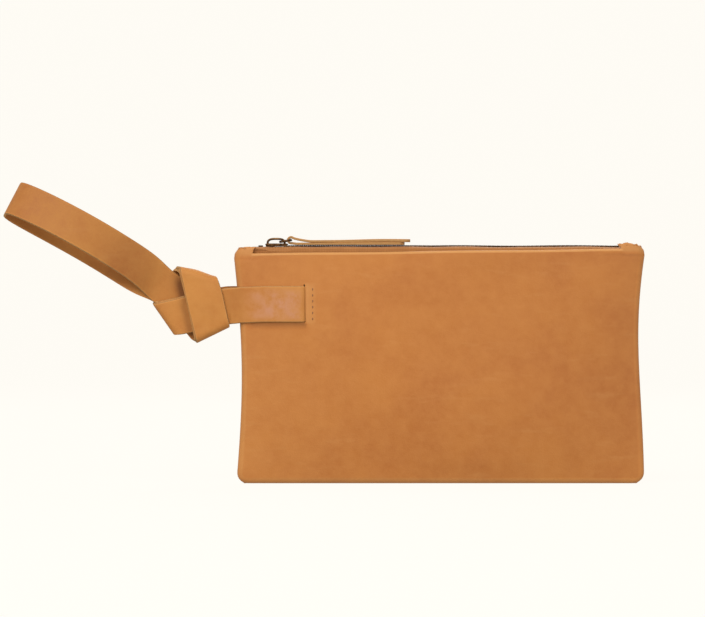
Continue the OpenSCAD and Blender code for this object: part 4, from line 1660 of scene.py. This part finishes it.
    def stitch_row(self, finishes: Finishes, face: Side) -> bpy.types.Object:
        """Builds the row of stitches that holds the strap's tail behind a panel."""
        x = self.pouch.slit_x + 3.9
        count = int(self.width / self.stitch_pitch)
        first = self.z - count * self.stitch_pitch / 2 + 0.4
        skins = []
        for i in range(count):
            low = first + i * self.stitch_pitch
            z = low + np.linspace(0.3, self.stitch_pitch - 1.1, 9)
            hump = np.sin(np.linspace(0, math.pi, 9))
            y = self.pouch.face_y(np.full(9, x), z, face) - 0.42 + 0.42 * hump
            path = np.stack([x + 0.12 * np.linspace(-1, 1, 9), -y, z], axis=1)
            rings = tube(path, self.thread_r, np.array([1.0, 0.0, 0.0]), 10)
            rings[:, :, 1] *= -face.sign
            skins.append(Skin(rings))
        name = face.named("strap_thread")
        return mesh_of(name, skins, [finishes.thread])

    def build(self, finishes: Finishes) -> None:
        """Builds and dresses the strap."""
        for face, nodes in ((Side.FRONT, ("strap_front_end", "strap_neck")), (Side.BACK, ("strap_back_end",))):
            piece = self.end_piece(finishes, face)
            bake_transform(piece)
            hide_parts(*nodes)
            LOG.info("%s bends from the pouch to the strap", piece.name)
        settle(self.knot_piece(finishes), "strap", Slot.STRAP, "strap_knot")
        loop = self.loop_piece(finishes)
        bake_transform(loop)
        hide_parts("wrist_loop")
        LOG.info("%s bends from the strap to the loop", loop.name)
        for face, word in ((Side.FRONT, "front"), (Side.BACK, "back")):
            settle(self.stitch_row(finishes, face), "pouch", Slot.THREAD, f"strap_stitches_{word}")


# ---------------------------------------------------------------- stage


@dataclass
class Studio:
    """A pale floor that turns up into a dome, soft lights and the camera."""

    cream: str = "#fefbf4"
    aim_x: float = -45.7
    aim_z: float = 92.7
    distance: float = 1800.0
    lens: float = 173.2
    radius: float = 7.0
    # The floor lies this far under the origin, in metres
    sink: float = 0.00005

    def floor(self) -> None:
        """Makes the floor and backdrop, one round sheet that turns up into a dome."""
        bend = np.radians(np.linspace(0, 90, 11))[1:]
        line = [(0.4, 0.0), (1.2, 0.0), (self.radius - 1.2, 0.0)]
        line += [(self.radius - 1.2 + 1.2 * math.sin(a), 1.2 * (1 - math.cos(a))) for a in bend]
        line += [(self.radius * math.cos(a), 1.2 + self.radius * math.sin(a)) for a in bend[:-1]]
        turns = 48
        verts = [(0.0, 0.0, -self.sink)]
        for r, z in line:
            for turn in np.arange(turns) * 2 * math.pi / turns:
                verts.append((r * math.cos(turn), r * math.sin(turn), z - self.sink))
        faces: list[tuple[int, ...]] = [(0, 1 + j, 1 + (j + 1) % turns) for j in range(turns)]
        for i in range(len(line) - 1):
            a, b = 1 + i * turns, 1 + (i + 1) * turns
            faces += [(a + j, b + j, b + (j + 1) % turns, a + (j + 1) % turns) for j in range(turns)]
        last = 1 + (len(line) - 1) * turns
        faces.append(tuple(range(last, last + turns)))
        mesh = bpy.data.meshes.new("floor")
        mesh.from_pydata(verts, [], faces)
        mesh.polygons.foreach_set("use_smooth", [True] * len(faces))
        floor = bpy.data.objects.new("floor", mesh)
        bpy.context.scene.collection.objects.link(floor)
        material, _, shader = blank("cream_paper")
        shader.inputs["Base Color"].default_value = (0.03, 0.03, 0.03, 1.0)
        shader.inputs["Roughness"].default_value = 1.0
        shader.inputs["Specular IOR Level"].default_value = 0.0
        shader.inputs["Emission Color"].default_value = linear(self.cream)
        shader.inputs["Emission Strength"].default_value = 0.985
        mesh.materials.append(material)
        floor.visible_diffuse = False
        floor.visible_glossy = False

    def light(self, name: str, place: Vector, aim: Vector, size: float, power: float, tint: str = "#ffffff") -> None:
        """Adds one soft lamp.

        Args:
            name: its name.
            place: where it stands, in metres.
            aim: the point that it faces.
            size: its width in metres.
            power: its power in watts.
            tint: its colour.
        """
        lamp = bpy.data.lights.new(name, "AREA")
        lamp.shape = "SQUARE"
        lamp.size = size
        lamp.energy = power
        lamp.color = linear(tint)[:3]
        holder = bpy.data.objects.new(name, lamp)
        holder.location = place
        holder.rotation_euler = (aim - place).to_track_quat("-Z", "Y").to_euler()
        bpy.context.scene.collection.objects.link(holder)

    def camera(self) -> None:
        """Adds the camera, level and square to the front."""
        data = bpy.data.cameras.new("camera")
        data.sensor_width = 36.0
        data.lens = self.lens
        holder = bpy.data.objects.new("camera", data)
        holder.location = Vector((self.aim_x, -self.distance, self.aim_z)) * MM
        holder.rotation_euler = (math.radians(90), 0.0, 0.0)
        bpy.context.scene.collection.objects.link(holder)
        bpy.context.scene.camera = holder

    def build(self) -> None:
        """Makes the stage."""
        self.floor()
        aim = Vector((-0.03, 0.0, 0.08))
        self.light("key_softbox", Vector((-0.7, -1.3, 1.25)), aim, 1.2, 26.0, "#fffaf2")
        self.light("fill_softbox", Vector((1.1, -1.3, 0.5)), aim, 1.2, 7.0)
        self.light("rim_softbox", Vector((0.3, 1.3, 1.3)), aim, 1.2, 12.0)
        world = bpy.data.worlds.new("studio")
        world.use_nodes = True
        tree = world.node_tree
        sky = tree.nodes["Background"]
        sky.inputs["Color"].default_value = linear(self.cream)
        sky.inputs["Strength"].default_value = 0.62
        bpy.context.scene.world = world
        bpy.context.scene.view_settings.view_transform = "Standard"


def main() -> None:
    """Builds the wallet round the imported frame."""
    logging.basicConfig(level=logging.INFO, format="%(name)s: %(message)s")
    for old in list(bpy.data.objects):
        bpy.data.objects.remove(old)
    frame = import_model()
    Studio().camera()
    finishes = Finishes()
    pouch = Pouch()
    pouch.build(finishes)
    Zip(pouch).build(finishes, frame)
    Slider().build(finishes)
    Strap(pouch).build(finishes)
    Studio().build()


if __name__ == "__main__":
    main()
